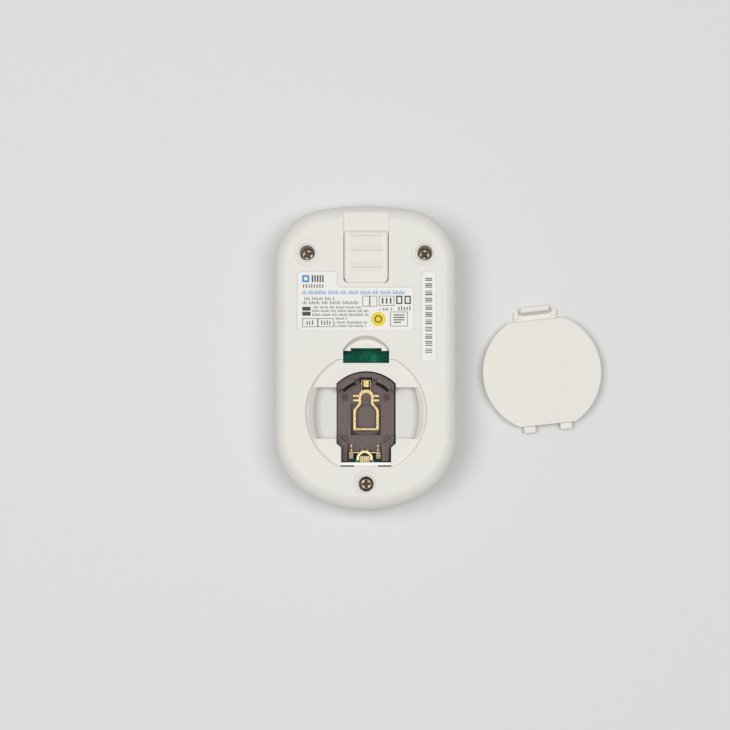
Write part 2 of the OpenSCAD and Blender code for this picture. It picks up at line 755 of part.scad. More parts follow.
module ejector_carriage() color("#cfd3d4") {
    box(-carriage_half - carriage_wing, carriage_half + carriage_wing, slider_y + slider_border,
        socket_y - slider_travel - 0.5, carriage_top_z - carriage_t, carriage_top_z);
    box(-carriage_half, carriage_half, slider_y + slider_border, socket_y + 0.4,
        strip_floor_z + 0.1, carriage_top_z);
}

// ======================= battery holder =======================

// The part of the holder's plan that lies outside the cell, between two distances along the case.
module holder_rim(from_y, to_y) intersection() {
    cell_window(-holder_gap);
    translate([0, cell_y]) difference() {
        circle(window_r + 6);
        circle(holder_rim_r);
    }
    translate([-window_r, from_y]) square([2 * window_r, to_y - from_y]);
}

// A short piece of a ring round the cell, between two radii, to one side of the top.
module hook_plan(side, r_in, r_out) translate([0, cell_y]) intersection() {
    difference() {
        circle(r_out);
        circle(r_in);
    }
    rotate(90 - side * hook_turn) translate([0, -hook_half]) square([window_r, 2 * hook_half]);
}

module battery_holder() color("#6d625f") translate([holder_x, 0, 0]) {
    difference() {
        union() {
            translate([0, 0, board_top_z]) linear_extrude(holder_floor_z - board_top_z)
                cell_window(-holder_gap);
            translate([0, 0, board_top_z]) linear_extrude(holder_rim_z - board_top_z)
                holder_rim(cell_y + 6, cell_y + window_r);
            translate([0, 0, board_top_z]) linear_extrude(holder_low_rim_z - board_top_z)
                holder_rim(window_end_y, cell_y - 5.5);
            // two hooks over the top edge of the cell
            for (side = [-1, 1]) translate([0, 0, holder_rim_z - eps]) linear_extrude(hook_t + eps)
                hook_plan(side, holder_rim_r - hook_reach, holder_rim_r + hook_root);
        }
        // shallow well under the spring
        box(-spring_half_w - 0.45, spring_half_w + 0.45, cell_y - spring_low - 1.2,
            cell_y + spring_neck - 0.3, holder_floor_z - holder_well_depth, holder_floor_z + eps);
        // slot for the spring's foot
        box(-tongue_half - 0.4, tongue_half + 0.4, cell_y + tongue_end - 0.65,
            cell_y + tongue_end + 0.75, board_top_z - eps, holder_rim_z + 1);
        // room for the side contact, and the opening round its feet
        box(side_contact_x - side_gap_half, side_contact_x + side_gap_half, window_end_y,
            side_contact_y + clip_l + side_gap_back, holder_floor_z, holder_rim_z);
        box(side_contact_x - side_gap_half + 0.4, side_contact_x + side_gap_half - 0.1, window_end_y,
            window_end_y + side_gap_l, board_top_z - eps, holder_rim_z);
        // round marks left by the mould
        for (p = mark_places) rod(p[0], cell_y + p[1], holder_floor_z - mark_depth,
            holder_floor_z + eps, mark_r);
        // groove under each hook
        for (side = [-1, 1]) translate([0, 0, holder_floor_z - hook_groove_depth])
            linear_extrude(hook_groove_depth + eps)
                hook_plan(side, holder_rim_r - hook_reach - hook_groove_l, holder_rim_r);
    }
}

// Plan of the flat spring: a round-topped neck, sloped shoulders and a square body.
module spring_plan(inset) {
    half = spring_half_w - inset;
    neck = spring_neck_half - inset;
    neck_y = cell_y + spring_neck - 0.4 * inset;
    shoulder_y = cell_y + spring_shoulder - 0.4 * inset;
    low_y = cell_y - spring_low + inset;
    top_y = cell_y + spring_top - spring_thick_top * inset / spring_strip_w;
    translate([0, top_y]) circle(neck);
    polygon([[-neck, top_y], [-neck, neck_y], [-half, shoulder_y], [-half, low_y],
        [half, low_y], [half, shoulder_y], [neck, neck_y], [neck, top_y]]);
}

module negative_contact() color("#b8975f") {
    translate([0, 0, spring_z]) linear_extrude(spring_t) {
        difference() {
            spring_plan(0);
            spring_plan(spring_strip_w);
        }
        // side fingers, and the tongue that leads to the foot
        for (y = finger_ys, side = [-1, 1])
            translate([side * finger_x - 1, cell_y + y - 0.3]) square([2, 0.6]);
        difference() {
            translate([-tongue_half, cell_y + spring_top + 1.5])
                square([2 * tongue_half, tongue_end - spring_top - 1.5]);
            translate([-tongue_hole[0], cell_y + spring_top + spring_neck_half + 0.1])
                square([2 * tongue_hole[0], tongue_hole[1]]);
        }
    }
    box(-tongue_half, tongue_half, cell_y + tongue_end - spring_t, cell_y + tongue_end,
        board_top_z, spring_z + spring_t);
    box(-tongue_half, tongue_half, cell_y + tongue_end - 1.45, cell_y + tongue_end,
        spring_z, spring_z + 2 * spring_t);
}

module positive_contact() color("#b8975f") translate([side_contact_x, 0, 0]) {
    y = side_contact_y;
    z = side_contact_z;
    for (side = [-1, 1]) {
        // folded clip, the finger that reaches the cell's side, and the bar to the saddle
        x = side * clip_x;
        box(x - clip_half, x + clip_half, y, y + clip_l, board_top_z, z);
        box(x - 0.22, x + 0.22, y + clip_l - 0.1, y + clip_l + 1.9, z - 1, z - 0.2);
        box(x - side - 0.6, x - side + 0.6, y + 0.9, y + 1.3, z - 1.1, z - 0.3);
    }
    // saddle: half a ring, open towards the thumb end
    translate([0, y, z - saddle_t - 0.1]) linear_extrude(saddle_t) intersection() {
        difference() {
            circle(saddle_r);
            circle(saddle_bore_r);
        }
        translate([-saddle_r, 0]) square([2 * saddle_r, saddle_r]);
    }
    // ribbed foot on the board
    box(-foot_half, foot_half, y - foot_l, y + 0.5, board_top_z, z - saddle_t - eps);
    box(-saddle_r + eps, saddle_r - eps, y, y + 0.5, board_top_z, z - saddle_t - eps);
    for (x = [-1.2 : 0.6 : 1.2])
        box(x - 0.15, x + 0.15, y - foot_l, y + 0.4, z - saddle_t - 0.1, z - saddle_t + 0.1);
}

// ======================= battery door =======================

// The latch tongue dips below the door, turns under its edge and climbs to the thumb piece.
module latch_foot_profile() {
    translate([door_root - 1.6, 0]) square([0.9, door_z + 0.1]);
    translate([door_root - 1.6, 0]) square([3.9, latch_t]);
}

module latch_rise_profile() {
    polygon([[door_root + 1.4, 0], [door_root + 2.3, 0], [door_root + 3.2, door_z - 0.1],
        [door_root + 4.1, door_z + 0.1], [door_root + 4.1, door_z + latch_t],
        [door_root + 2.7, door_z + latch_t - 0.1]]);
}

module battery_door() color("#e8e5de") {
    translate([door_x, door_y, 0]) rotate([0, 0, door_turn]) {
        translate([0, 0, door_z]) linear_extrude(door_t) door_outline(door_r, door_root);
        across(-latch_w / 2, latch_w / 2) latch_foot_profile();
        across(-latch_thumb_w / 2, latch_thumb_w / 2) latch_rise_profile();
        for (side = [-1, 1]) {
            // lug that catches under the case
            lug_x = side * (latch_w / 2 - 0.7);
            box(lug_x - 0.7, lug_x + 0.7, door_root + 1, door_root + 3.2, 0, latch_t + 0.3);
            // tab that hooks under the case
            box(side * tab_x - tab_w / 2, side * tab_x + tab_w / 2, -door_root - tab_l,
                -door_root + 2.4, door_z - tab_t, door_z + eps);
            // rib that drops into the finger wing and keeps the cell down
            box(side * door_rib_x - 0.6, side * door_rib_x + 0.6, -wing_half_l + 0.5,
                wing_half_l - 0.5, 0, door_z + eps);
        }
    }
}

// ======================= fasteners =======================

// A pan head screw standing on its head's underside, with a cross recess.
module pan_screw(head_d, head_t, shank_d, shank_l) {
    difference() {
        union() {
            cylinder(r = head_d / 2, h = head_t * 0.6);
            translate([0, 0, head_t * 0.6])
                cylinder(r1 = head_d / 2, r2 = head_d / 2 - 0.5, h = head_t * 0.4);
            translate([0, 0, -shank_l]) cylinder(r = shank_d / 2, h = shank_l + 0.1);
        }
        for (turn = [0, 90]) rotate([0, 0, turn])
            box(-head_d * 0.3, head_d * 0.3, -cross_half, cross_half, head_t * 0.35, 2 * head_t);
    }
}

module case_screws() color("#8b7d6c") {
    for (p = screw_places) translate([p[0], p[1], screw_seat_z])
        pan_screw(screw_head_d, screw_head_t, screw_d - 2 * thread_bite, screw_shank_l);
}

module board_screws() color("#b4b4b2") {
    for (p = post_places) translate([p[0], p[1], board_top_z])
        pan_screw(board_screw_head[0], board_screw_head[1], 2 * post_pilot_r, board_screw_l);
}

// ======================= labels =======================

module rating_label() color("#f3f1ee") {
    translate([0, 0, case_t - label_recess]) linear_extrude(label_t) rating_outline(0);
}

module serial_label() color("#f3f1ee") {
    translate([0, 0, case_t - label_recess]) linear_extrude(label_t) serial_outline(0);
}

front_shell();
rear_shell();
display_lens();
lcd_panel();
lcd_carrier();
zebra_strips();
circuit_board();
main_chip();
quartz_crystal();
chip_components();
buzzer();
button_switches();
strip_socket();
socket_contacts();
ejector_slider();
ejector_carriage();
battery_holder();
negative_contact();
positive_contact();
battery_door();
case_screws();
board_screws();
main_button();
left_button();
right_button();
rating_label();
serial_label();
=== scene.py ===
import bpy, bmesh, math
import numpy as np
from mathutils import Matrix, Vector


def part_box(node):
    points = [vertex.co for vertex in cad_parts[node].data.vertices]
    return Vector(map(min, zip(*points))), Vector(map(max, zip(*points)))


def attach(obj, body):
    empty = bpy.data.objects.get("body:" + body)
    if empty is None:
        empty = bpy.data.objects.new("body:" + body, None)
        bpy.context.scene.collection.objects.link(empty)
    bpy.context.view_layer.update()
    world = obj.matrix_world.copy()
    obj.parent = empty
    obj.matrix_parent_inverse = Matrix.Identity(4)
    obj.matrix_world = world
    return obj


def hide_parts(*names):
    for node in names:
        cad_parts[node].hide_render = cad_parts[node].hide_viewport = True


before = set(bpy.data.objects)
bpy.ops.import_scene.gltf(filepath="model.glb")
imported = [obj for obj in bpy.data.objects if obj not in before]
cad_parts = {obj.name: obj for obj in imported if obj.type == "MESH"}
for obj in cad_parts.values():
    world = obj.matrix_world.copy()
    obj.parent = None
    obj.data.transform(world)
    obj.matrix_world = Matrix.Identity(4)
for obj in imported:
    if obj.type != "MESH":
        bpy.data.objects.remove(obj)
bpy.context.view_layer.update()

# Blood glucose meter on its face, back up, with its battery door off and lying beside it.
# The frame's origin is the middle of the front face, +Y points to the strip port and +Z out
# of the back. Shapes are worked out in millimetres, and makePiece turns them to metres.

mm = 0.001
seamWeld = 1e-4 * mm   # a new piece's points closer than this are one
copyWeld = 0.002 * mm   # and so are a CAD copy's
goldenShare = 0.618034   # its multiples' fractions spread evenly, and stand for chance
scene = bpy.context.scene
print("frame loaded")


# small helpers: colours and nodes

def linear(hexText):
    # sRGB hex to linear light, one channel at a time
    channels = [int(hexText[i:i + 2], 16) / 255 for i in (1, 3, 5)]
    return tuple(c / 12.92 if c <= 0.04045 else ((c + 0.055) / 1.055) ** 2.4 for c in channels) + (1.0,)


def setInputs(tree, node, inputs):
    # each input takes a plain value or another node's output socket
    for name, value in inputs.items():
        if isinstance(value, bpy.types.NodeSocket):
            tree.links.new(value, node.inputs[name])
        else:
            node.inputs[name].default_value = value
    return node


def addNode(tree, kind, inputs=None, output=0, **settings):
    # makes one shader node with its settings and links, and gives one of its output sockets
    node = tree.nodes.new("ShaderNode" + kind)
    for name, value in settings.items():
        setattr(node, name, value)
    return setInputs(tree, node, inputs or {}).outputs[output]


def newMaterial(name, values):
    # a material with one Principled shader, whose plain values are set on its own sockets
    material = bpy.data.materials.new(name)
    material.use_nodes = True
    tree = material.node_tree
    tree.nodes.clear()
    surface = addNode(tree, "BsdfPrincipled", values)
    setInputs(tree, tree.nodes.new("ShaderNodeOutputMaterial"), {"Surface": surface})
    return material, tree, surface.node, addNode(tree, "TexCoord", output="Object")


def blendColours(tree, factor, first, second):
    # two colours mixed by a factor; each is a hex text or another node's output
    ends = [linear(end) if isinstance(end, str) else end for end in (first, second)]
    return addNode(tree, "Mix", {0: factor, 6: ends[0], 7: ends[1]}, 2, data_type="RGBA")


def fade(tree, value, full, none):
    # 1 where the value is at full, 0 where it is at none, smooth between
    span = {"Value": value, "From Min": none, "From Max": full}
    return addNode(tree, "MapRange", span, interpolation_type="SMOOTHSTEP")


# small helpers: surfaces as point grids

def pathPoints(*coordinates):
    # points from their coordinates, each a number or an array
    return np.column_stack(np.broadcast_arrays(*coordinates))


def gridFaces(rows, columns, ring=False):
    # quads between neighbours of a grid stored row by row; in a ring the last column meets the first
    across = np.arange(columns if ring else columns - 1)
    row, column = np.meshgrid(np.arange(rows - 1), across, indexing="ij")
    following = (column + 1) % columns
    corners = [row * columns + column, row * columns + following,
               (row + 1) * columns + following, (row + 1) * columns + column]
    return np.stack(corners, -1).reshape(-1, 4)


def merged(*solids):
    # several (points, faces) pairs as one pair
    counts = np.cumsum([0] + [len(points) for points, faces in solids[:-1]])
    return (np.vstack([points for points, faces in solids]),
            np.vstack([faces + count for (points, faces), count in zip(solids, counts)]))


def slab(top, bottom):
    # two grids of rows x columns points, the second under the first, closed along their borders
    rows, columns = top.shape[:2]
    count = rows * columns
    index = np.arange(count).reshape(rows, columns)
    border = np.concatenate([index[0], index[1:, -1], index[-1, -2::-1], index[-2:0:-1, 0]])
    following = np.roll(border, -1)
    sides = np.stack([border, following, following + count, border + count], -1)
    faces = gridFaces(rows, columns)
    return np.vstack([top.reshape(-1, 3), bottom.reshape(-1, 3)]), np.vstack([faces, faces + count, sides])


def roundGrid(radius, height, centre, angle):
    # radii and heights along rows carried round an upright axis through the centre
    grid = [centre[0] + radius * np.cos(angle), centre[1] + radius * np.sin(angle), height + 0 * angle]
    return np.stack(grid, -1).reshape(-1, 3), gridFaces(len(radius), angle.size, ring=True)


def turned(profile, steps, centre=(0, 0), start=0.0):
    # (radius, height) points carried round an upright axis; radius 0 at both ends closes it
    radius, height = np.asarray(profile, float).T[:, :, None]
    return roundGrid(radius, height, centre, start + np.linspace(0, 2 * np.pi, steps, endpoint=False))


def unit(vectors):
    return vectors / np.linalg.norm(vectors, axis=1, keepdims=True)


def sweep(path, section, closed=False, widths=1.0):
    # a section of (sideways, upward) points carried along a path, square to its direction;
    # an open path's ends close on their middles, and widths stretch the section sideways
    ahead = np.roll(path, -1, 0) - np.roll(path, 1, 0) if closed else np.gradient(path, axis=0)
    side = unit(np.cross(ahead, (0, 0, 1)))
    lift = unit(np.cross(side, ahead))
    width = np.broadcast_to(widths, len(path))[:, None, None]
    rings = path[:, None] + width * section[:, :1] * side[:, None] + section[:, 1:] * lift[:, None]
    if closed:
        rings = np.concatenate([rings, rings[:1]])
    else:
        ends = [np.repeat(path[end][None, None], len(section), 1) for end in (0, -1)]
        rings = np.concatenate([ends[0], rings, ends[1]])
    return rings.reshape(-1, 3), gridFaces(len(rings), len(section), ring=True)


def roundedPath(corners, radii, steps=8):
    # a closed outline: at each corner an arc that touches both its sides, middle on the bisector
    corners = np.asarray(corners, float)
    radii = np.broadcast_to(radii, len(corners))[:, None]
    back = unit(np.roll(corners, 1, 0) - corners)
    ahead = unit(np.roll(corners, -1, 0) - corners)
    half = np.arccos(np.clip((back * ahead).sum(1, keepdims=True), -1, 1)) / 2
    middle = corners + unit(back + ahead) * radii / np.sin(half)
    first = corners + back * radii / np.tan(half) - middle
    last = corners + ahead * radii / np.tan(half) - middle
    turn = (np.pi - 2 * half)[:, None]
    share = np.linspace(0, 1, steps + 1)[None, :, None]
    arcs = np.sin((1 - share) * turn) * first[:, None] + np.sin(share * turn) * last[:, None]
    return (middle[:, None] + arcs / np.sin(turn)).reshape(-1, 2)


def rectangle(x0, x1, y0, y1):
    return np.array([(x0, y0), (x1, y0), (x1, y1), (x0, y1)], float)


def stackedRings(*rings):
    # (outline, height) pairs of as many points each, joined in turn
    grid = [pathPoints(*outline.T, height) for outline, height in rings]
    return np.vstack(grid), gridFaces(len(grid), len(grid[0]), ring=True)


def frameRing(outer, inner, low, high):
    # a flat frame between two outlines
    return stackedRings((outer, high), (inner, high), (inner, low), (outer, low), (outer, high))


def plate(outline, low, high):
    # a convex outline given thickness, its two faces closed on their middles
    middle = np.repeat(outline.mean(0)[None], len(outline), 0)
    return stackedRings((middle, low), (outline, low), (outline, high), (middle, high))


def bars(starts, ends, widths, low, high):
    # straight flat bars, each from its start to its end in plan: half a width to each side of the line
    starts, ends = np.asarray(starts, float).reshape(-1, 2), np.asarray(ends, float).reshape(-1, 2)
    ahead = ends - starts
    side = unit(np.column_stack([-ahead[:, 1], ahead[:, 0]]))
    side *= np.broadcast_to(widths, len(starts))[:, None] / 2
    plan = np.stack([starts - side, ends - side, ends + side, starts + side], 1)
    layers = [np.dstack([plan, np.full(plan.shape[:2], height)]) for height in (low, high)]
    points = np.concatenate(layers, 1).reshape(-1, 3)
    block = np.array([(3, 2, 1, 0), (4, 5, 6, 7), (0, 1, 5, 4), (1, 2, 6, 5), (2, 3, 7, 6), (3, 0, 4, 7)])
    return points, (block + 8 * np.arange(len(starts))[:, None, None]).reshape(-1, 4)


def blocks(boxes, low, high):
    # upright boxes, each given by its x and y limits
    x0, x1, y0, y1 = np.asarray(boxes, float).reshape(-1, 4).T
    middle = (y0 + y1) / 2
    return bars(pathPoints(x0, middle), pathPoints(x1, middle), y1 - y0, low, high)


def roundSection(width, height, corner, steps=3):
    # a rounded rectangle about 0, as a section for sweep
    return roundedPath(rectangle(-width / 2, width / 2, -height / 2, height / 2), corner, steps)


def domedSection(width, height, steps=20, power=0.7):
    # a flattened ellipse: across as a cosine to a power, up as a sine
    angle = np.linspace(0, 2 * np.pi, steps, endpoint=False)
    across = np.sign(np.cos(angle)) * np.abs(np.cos(angle)) ** power
    return np.column_stack([width / 2 * across, height / 2 * np.sin(angle)])


def smoothStep(values, low, high):
    # 0 below low, 1 above high, and 3t^2 - 2t^3 between them
    t = np.clip((values - low) / (high - low), 0, 1)
    return t * t * (3 - 2 * t)


# small helpers: pieces

def nodeBox(nodeName):
    # a CAD node's lowest and highest corners, in millimetres
    low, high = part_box(nodeName)
    return np.array(low) / mm, np.array(high) / mm


def placePiece(name, mesh, material, stands=(), body="case", sharpAngle=40):
    # the mesh as a piece that rides a body, in place of the nodes it stands for
    piece = bpy.data.objects.new(name, mesh)
    scene.collection.objects.link(piece)
    mesh.materials.clear()
    mesh.materials.append(material)
    mesh.shade_smooth()
    mesh.set_sharp_from_angle(angle=math.radians(sharpAngle))
    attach(piece, body)
    if stands:
        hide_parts(*stands)
    return piece


def solidMesh(name, solid):
    # points in millimetres and faces as a mesh in metres
    points, faces = solid
    mesh = bpy.data.meshes.new(name)
    mesh.from_pydata((points * mm).tolist(), [], faces.tolist())
    return mesh


def closeMesh(builder, mesh):
    # welds seams and poles, turns every face outwards, and writes it all to the mesh
    bmesh.ops.remove_doubles(builder, verts=builder.verts, dist=seamWeld)
    bmesh.ops.recalc_face_normals(builder, faces=builder.faces)
    builder.to_mesh(mesh)
    builder.free()


def makePiece(name, solid, material, stands=(), body="case", sharpAngle=40):
    mesh = solidMesh(name, solid)
    builder = bmesh.new()
    builder.from_mesh(mesh)
    closeMesh(builder, mesh)
    return placePiece(name, mesh, material, stands, body, sharpAngle)


def roundEdges(piece, edges):
    # a live Bevel on the sharp edges, then normals weighted by face
    bevel = piece.modifiers.new("edges", "BEVEL")
    bevel.width = edges["round"]
    bevel.segments = edges["steps"]
    bevel.limit_method = "ANGLE"
    bevel.angle_limit = math.radians(edges["angle"])
    bevel.use_clamp_overlap = edges["clamp"]
    even = piece.modifiers.new("normals", "WEIGHTED_NORMAL")
    even.keep_sharp = True
    return piece


def weldedCopy(nodeName, flat=0.4):
    # a copy of the CAD node's mesh, merged, with the triangles of each flat face joined
    builder = bmesh.new()
    builder.from_mesh(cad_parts[nodeName].data)
    bmesh.ops.remove_doubles(builder, verts=builder.verts, dist=copyWeld)
    if flat:
        everything = {"verts": builder.verts, "edges": builder.edges}
        bmesh.ops.dissolve_limit(builder, angle_limit=math.radians(flat), **everything)
    return builder


def finishedCopy(nodeName, edges, material, body="case"):
    # the CAD shape with rounded moulded edges, under the node's name in camelCase
    first, *others = nodeName.split("_")
    name = first + "".join(word.capitalize() for word in others)
    builder = weldedCopy(nodeName, edges["flat"])
    mesh = bpy.data.meshes.new(name)
    builder.to_mesh(mesh)
    builder.free()
    return roundEdges(placePiece(name, mesh, material, (nodeName,), body, edges["angle"]), edges)


# materials, each named for the real one

absLook = dict(
    colour="#e9e6e0", shade="#e4e1da", cloudSize=14 * mm, grainSize=0.22 * mm, grainDepth=0.012 * mm,
    roughness=0.46, gloss=0.5, discs=(), below=1.0, belowSoft=0.2, hollow=None, hollowSoft=0.12,
    paintedHollowShade="#2e2522")
nylonLook = dict(
    absLook, colour="#897875", shade="#524b4a", cloudSize=0.45 * mm, grainSize=0.16 * mm,
    grainDepth=0.03 * mm, roughness=0.55, gloss=0.15)


def discMask(tree, place, disc):
    # 1 inside an upright cylinder given as (x, y, radius, softness) in millimetres, 0 outside
    x, y, radius, soft = (value * mm for value in disc)
    flat = addNode(tree, "VectorMath", {0: place, 1: (1, 1, 0)}, operation="MULTIPLY")
    reach = addNode(tree, "VectorMath", {0: flat, 1: (x, y, 0)}, "Value", operation="DISTANCE")
    return fade(tree, reach, radius - soft, radius + soft)


def mouldedPlastic(name, base, **changes):
    # moulded plastic: satin, with the mould's fine even grain and a faint cloudiness; its hollows are
    # painted a shade tone, and discs given as (place, tone) have their own tones below a level
    look = dict(base, **changes)
    values = {"Roughness": look["roughness"], "IOR": 1.5, "Specular IOR Level": look["gloss"]}
    material, tree, shader, place = newMaterial(name, values)
    cloud, grain = (
        addNode(tree, "TexNoise", {"Vector": place, "Scale": 1 / look[size], "Detail": detail})
        for size, detail in (("cloudSize", 3.0), ("grainSize", 2.0)))
    tone = blendColours(tree, cloud, look["colour"], look["shade"])
    height = addNode(tree, "SeparateXYZ", {0: place}, "Z")
    # painted shade: below the hollow level the tone turns to the painted hollow shade
    if look["hollow"]:
        level, soft = look["hollow"], look["hollowSoft"]
        under = fade(tree, height, (level - soft) * mm, (level + soft) * mm)
        tone = blendColours(tree, under, tone, look["paintedHollowShade"])
    if look["discs"]:
        level, soft = look["below"], look["belowSoft"]
        under = fade(tree, height, (level - soft) * mm, (level + soft) * mm)
        for disc, discTone in look["discs"]:
            inside = {0: discMask(tree, place, disc), 1: under}
            mask = addNode(tree, "Math", inside, operation="MULTIPLY")
            tone = blendColours(tree, mask, tone, discTone)
    bump = addNode(tree, "Bump", {"Height": grain, "Strength": 0.5, "Distance": look["grainDepth"]})
    setInputs(tree, shader, {"Base Color": tone, "Normal": bump})
    return material


# ABS from a spark-eroded mould: satin off-white, painted a little greyer down in the bay as shade;
# the door is yellower from handling, and the lip is paler than the case
# painted shade: the bay's floors, below the back face, take a greyer tone where the recess is shaded
bayShadeDisc = ((0, -16, 17.5, 0.1), "#dcdad5")
caseAbs = mouldedPlastic("offWhiteAbs", absLook, discs=(bayShadeDisc,), below=15.6)
doorAbs = mouldedPlastic("offWhiteAbsDoor", absLook, colour="#e8e5dd", shade="#e4e1d8")
sliderAbs = mouldedPlastic("offWhiteAbsSlider", absLook, colour="#ebe8e2", roughness=0.4)
lipAbs = mouldedPlastic("paleAbsLip", absLook, colour="#f8f6f2", shade="#f3f1ec", roughness=0.35)
# glass-filled nylon: warm dark grey and dull, finely mottled by its fibres, painted near black in its
# hollows as shade, and darker at its four moulding marks
holderMarksAndWellTones = (
    ((-6.15, -11.3, 1.0, 0.45), "#574947"), ((5.95, -11.3, 1.0, 0.45), "#574947"),
    ((-6.15, -23.3, 1.2, 0.45), "#665955"), ((5.95, -23.3, 1.2, 0.45), "#665955"),
    # its well is toned nearly as pale as its floor, over the painted hollow shade, and paler still towards
    # its middle
    ((0, -17.2, 5.4, 0.8), "#6b605c"), ((0, -17.2, 3.4, 0.8), "#736864"))
holderNylon = mouldedPlastic("glassFilledNylon", nylonLook, discs=holderMarksAndWellTones, below=12.0, hollow=11.35)
# the same nylon deep in a slot: black with shade
shadedNylon = mouldedPlastic("shadedGlassFilledNylon", nylonLook, colour="#181312", shade="#0d0a0a")
# unfilled nylon and polypropylene parts inside: milky and plain
naturalNylon = mouldedPlastic(
    "naturalNylon", absLook, colour="#dcdacf", shade="#d2cfc2", cloudSize=5 * mm, roughness=0.38)
# epoxy moulding compound: near black and finely pitted
chipEpoxy = mouldedPlastic(
    "epoxyCompound", nylonLook, colour="#2b2c2e", shade="#232425", cloudSize=1.2 * mm,
    roughness=0.5, gloss=0.5)
# pad-printed silicone caps: soft satin
siliconeLook = dict(absLook, roughness=0.5, cloudSize=5 * mm)
blueCap = mouldedPlastic(
    "blueSiliconeCap", siliconeLook, colour="#3f7fb5", shade="#3876ab", cloudSize=6 * mm)
greyCap = mouldedPlastic("greySiliconeCap", siliconeLook, colour="#c9ced1", shade="#c1c6ca")
capMark = mouldedPlastic(
    "padPrintedMark", siliconeLook, colour="#f2f3f2", shade="#e9ebea", cloudSize=1 * mm, roughness=0.55)


platingLook = dict(
    worn="#d8caa6", dull="#7a6443", patchSize=0.3 * mm, rough=(0.34, 0.5), relief=0.005 * mm)


def platedMetal(name, **changes):
    # plated metal: clear where it is rubbed, duller and darker in the hollows of a fine noise
    look = dict(platingLook, **changes)
    material, tree, shader, place = newMaterial(name, {"Metallic": 1.0})
    patch = addNode(tree, "TexNoise", {"Vector": place, "Scale": 1 / look["patchSize"], "Detail": 4.0})
    spread = dict(zip(("To Min", "To Max"), look["rough"]))
    rough = addNode(tree, "MapRange", {"Value": patch, "From Min": 0.3, "From Max": 0.7, **spread})
    bump = addNode(tree, "Bump", {"Height": patch, "Strength": 0.4, "Distance": look["relief"]})
    tone = blendColours(tree, patch, look["worn"], look["dull"])
    setInputs(tree, shader, {"Base Color": tone, "Roughness": rough, "Normal": bump})
    return material


# gold flash on phosphor bronze: warm pale gold with browner patches
goldFlash = platedMetal("goldFlashedBronze")
# the same where the cell's face has rubbed it: browner, with more of the bronze showing
rubbedGold = platedMetal(
    "rubbedGoldBronze", worn="#bba87f", dull="#6b5539", patchSize=0.36 * mm, rough=(0.3, 0.5))
# black nickel on steel, mostly rubbed off by the driver: warm grey with darker patches
blackNickel = platedMetal(
    "blackNickelSteel", worn="#c2b6a5", dull="#988b7b", patchSize=1.1 * mm, rough=(0.36, 0.5),
    relief=0.002 * mm)
# bright tin plate: cool light grey, slightly satin
tinPlate = platedMetal(
    "tinPlate", worn="#c3c5c6", dull="#9a9c9e", patchSize=0.6 * mm, rough=(0.25, 0.45),
    relief=0.006 * mm)

maskLook = dict(
    colour="#045e47", shade="#014d39", thin="#10745a", cloudSize=2.5 * mm, roughness=0.5, gloss=0.06,
    thinShare=0.35, relief=0.01 * mm, thread=0.45 * mm)   # twice the glass thread's real pitch, to show
wavePitch = 0.314   # pitch of a wave texture whose scale is 1


def solderMask(name, look):
    # liquid solder mask over glass weave and copper: deep green, faintly lighter along the weave
    values = {"Roughness": look["roughness"], "Specular IOR Level": look["gloss"]}
    material, tree, shader, place = newMaterial(name, values)
    cloud = addNode(tree, "TexNoise", {"Vector": place, "Scale": 1 / look["cloudSize"], "Detail": 2.0})
    wave = {"Vector": place, "Scale": wavePitch / look["thread"], "Distortion": 0.6, "Detail": 1.0}
    weave = [addNode(tree, "TexWave", wave, "Fac", bands_direction=axis) for axis in "XY"]
    cross = addNode(tree, "Math", {0: weave[0], 1: weave[1]}, operation="MULTIPLY")
    share = addNode(tree, "Math", {0: cross, 1: look["thinShare"]}, operation="MULTIPLY")
    ground = blendColours(tree, cloud, look["colour"], look["shade"])
    tone = blendColours(tree, share, ground, look["thin"])
    bump = addNode(tree, "Bump", {"Height": cross, "Strength": 0.3, "Distance": look["relief"]})
    setInputs(tree, shader, {"Base Color": tone, "Normal": bump})
    return material


boardMask = solderMask("solderMaskedFr4", maskLook)
copperMask = solderMask(
    "solderMaskedCopper", dict(maskLook, colour="#1d7a61", shade="#146850", thin="#2c8a70"))


inkLook = dict(patchSize=0.3 * mm, detail=3.0, relief=0, roughness=0.55, ior=1.5, gloss=0.3)
labelLook = dict(
    inkLook, patchSize=3.5 * mm, detail=2.0, relief=0.02 * mm, roughness=0.36, ior=1.57, gloss=0.5)
displayLook = dict(inkLook, patchSize=22 * mm, detail=1.0, roughness=0.3, gloss=0.5)


def thinFilm(name, colour, shade, look=inkLook):
    # ink or film: flat, with a tone that shifts a little over patches of one size
    values = {"Roughness": look["roughness"], "IOR": look["ior"], "Specular IOR Level": look["gloss"]}
    material, tree, shader, place = newMaterial(name, values)
    noise = {"Vector": place, "Scale": 1 / look["patchSize"], "Detail": look["detail"]}
    patch = addNode(tree, "TexNoise", noise)
    setInputs(tree, shader, {"Base Color": blendColours(tree, patch, colour, shade)})
    if look["relief"]:
        bump = addNode(tree, "Bump", {"Height": patch, "Strength": 0.3, "Distance": look["relief"]})
        setInputs(tree, shader, {"Normal": bump})
    return material


# thermal-transfer ink: flat and matt, slightly broken where the ribbon skipped
blackInk = thinFilm("blackRibbonInk", "#39393b", "#4f4f52")
greyInk = thinFilm("thinBlackInk", "#444447", "#5c5c60")
blueInk = thinFilm("blueFlexoInk", "#2f86c6", "#3f93cf")
paleBlueInk = thinFilm("paleBlueFlexoInk", "#5f9fd4", "#77afdc")
yellowInk = thinFilm("yellowFlexoInk", "#f2d21f", "#eeda3c")
borderInk = thinFilm("darkLensInk", "#23282c", "#1c2024")
ghostInk = thinFilm("displaySegments", "#78857a", "#748176")
# white polyester label: smoother and a shade whiter than the case, faintly uneven from its glue
filmWhite = thinFilm("whitePolyesterFilm", "#ebe9e5", "#e6e3de", labelLook)
# reflective display glass: grey-green behind its polariser, faintly uneven over wide patches
display = thinFilm("reflectiveDisplay", "#93a08f", "#84917f", displayLook)


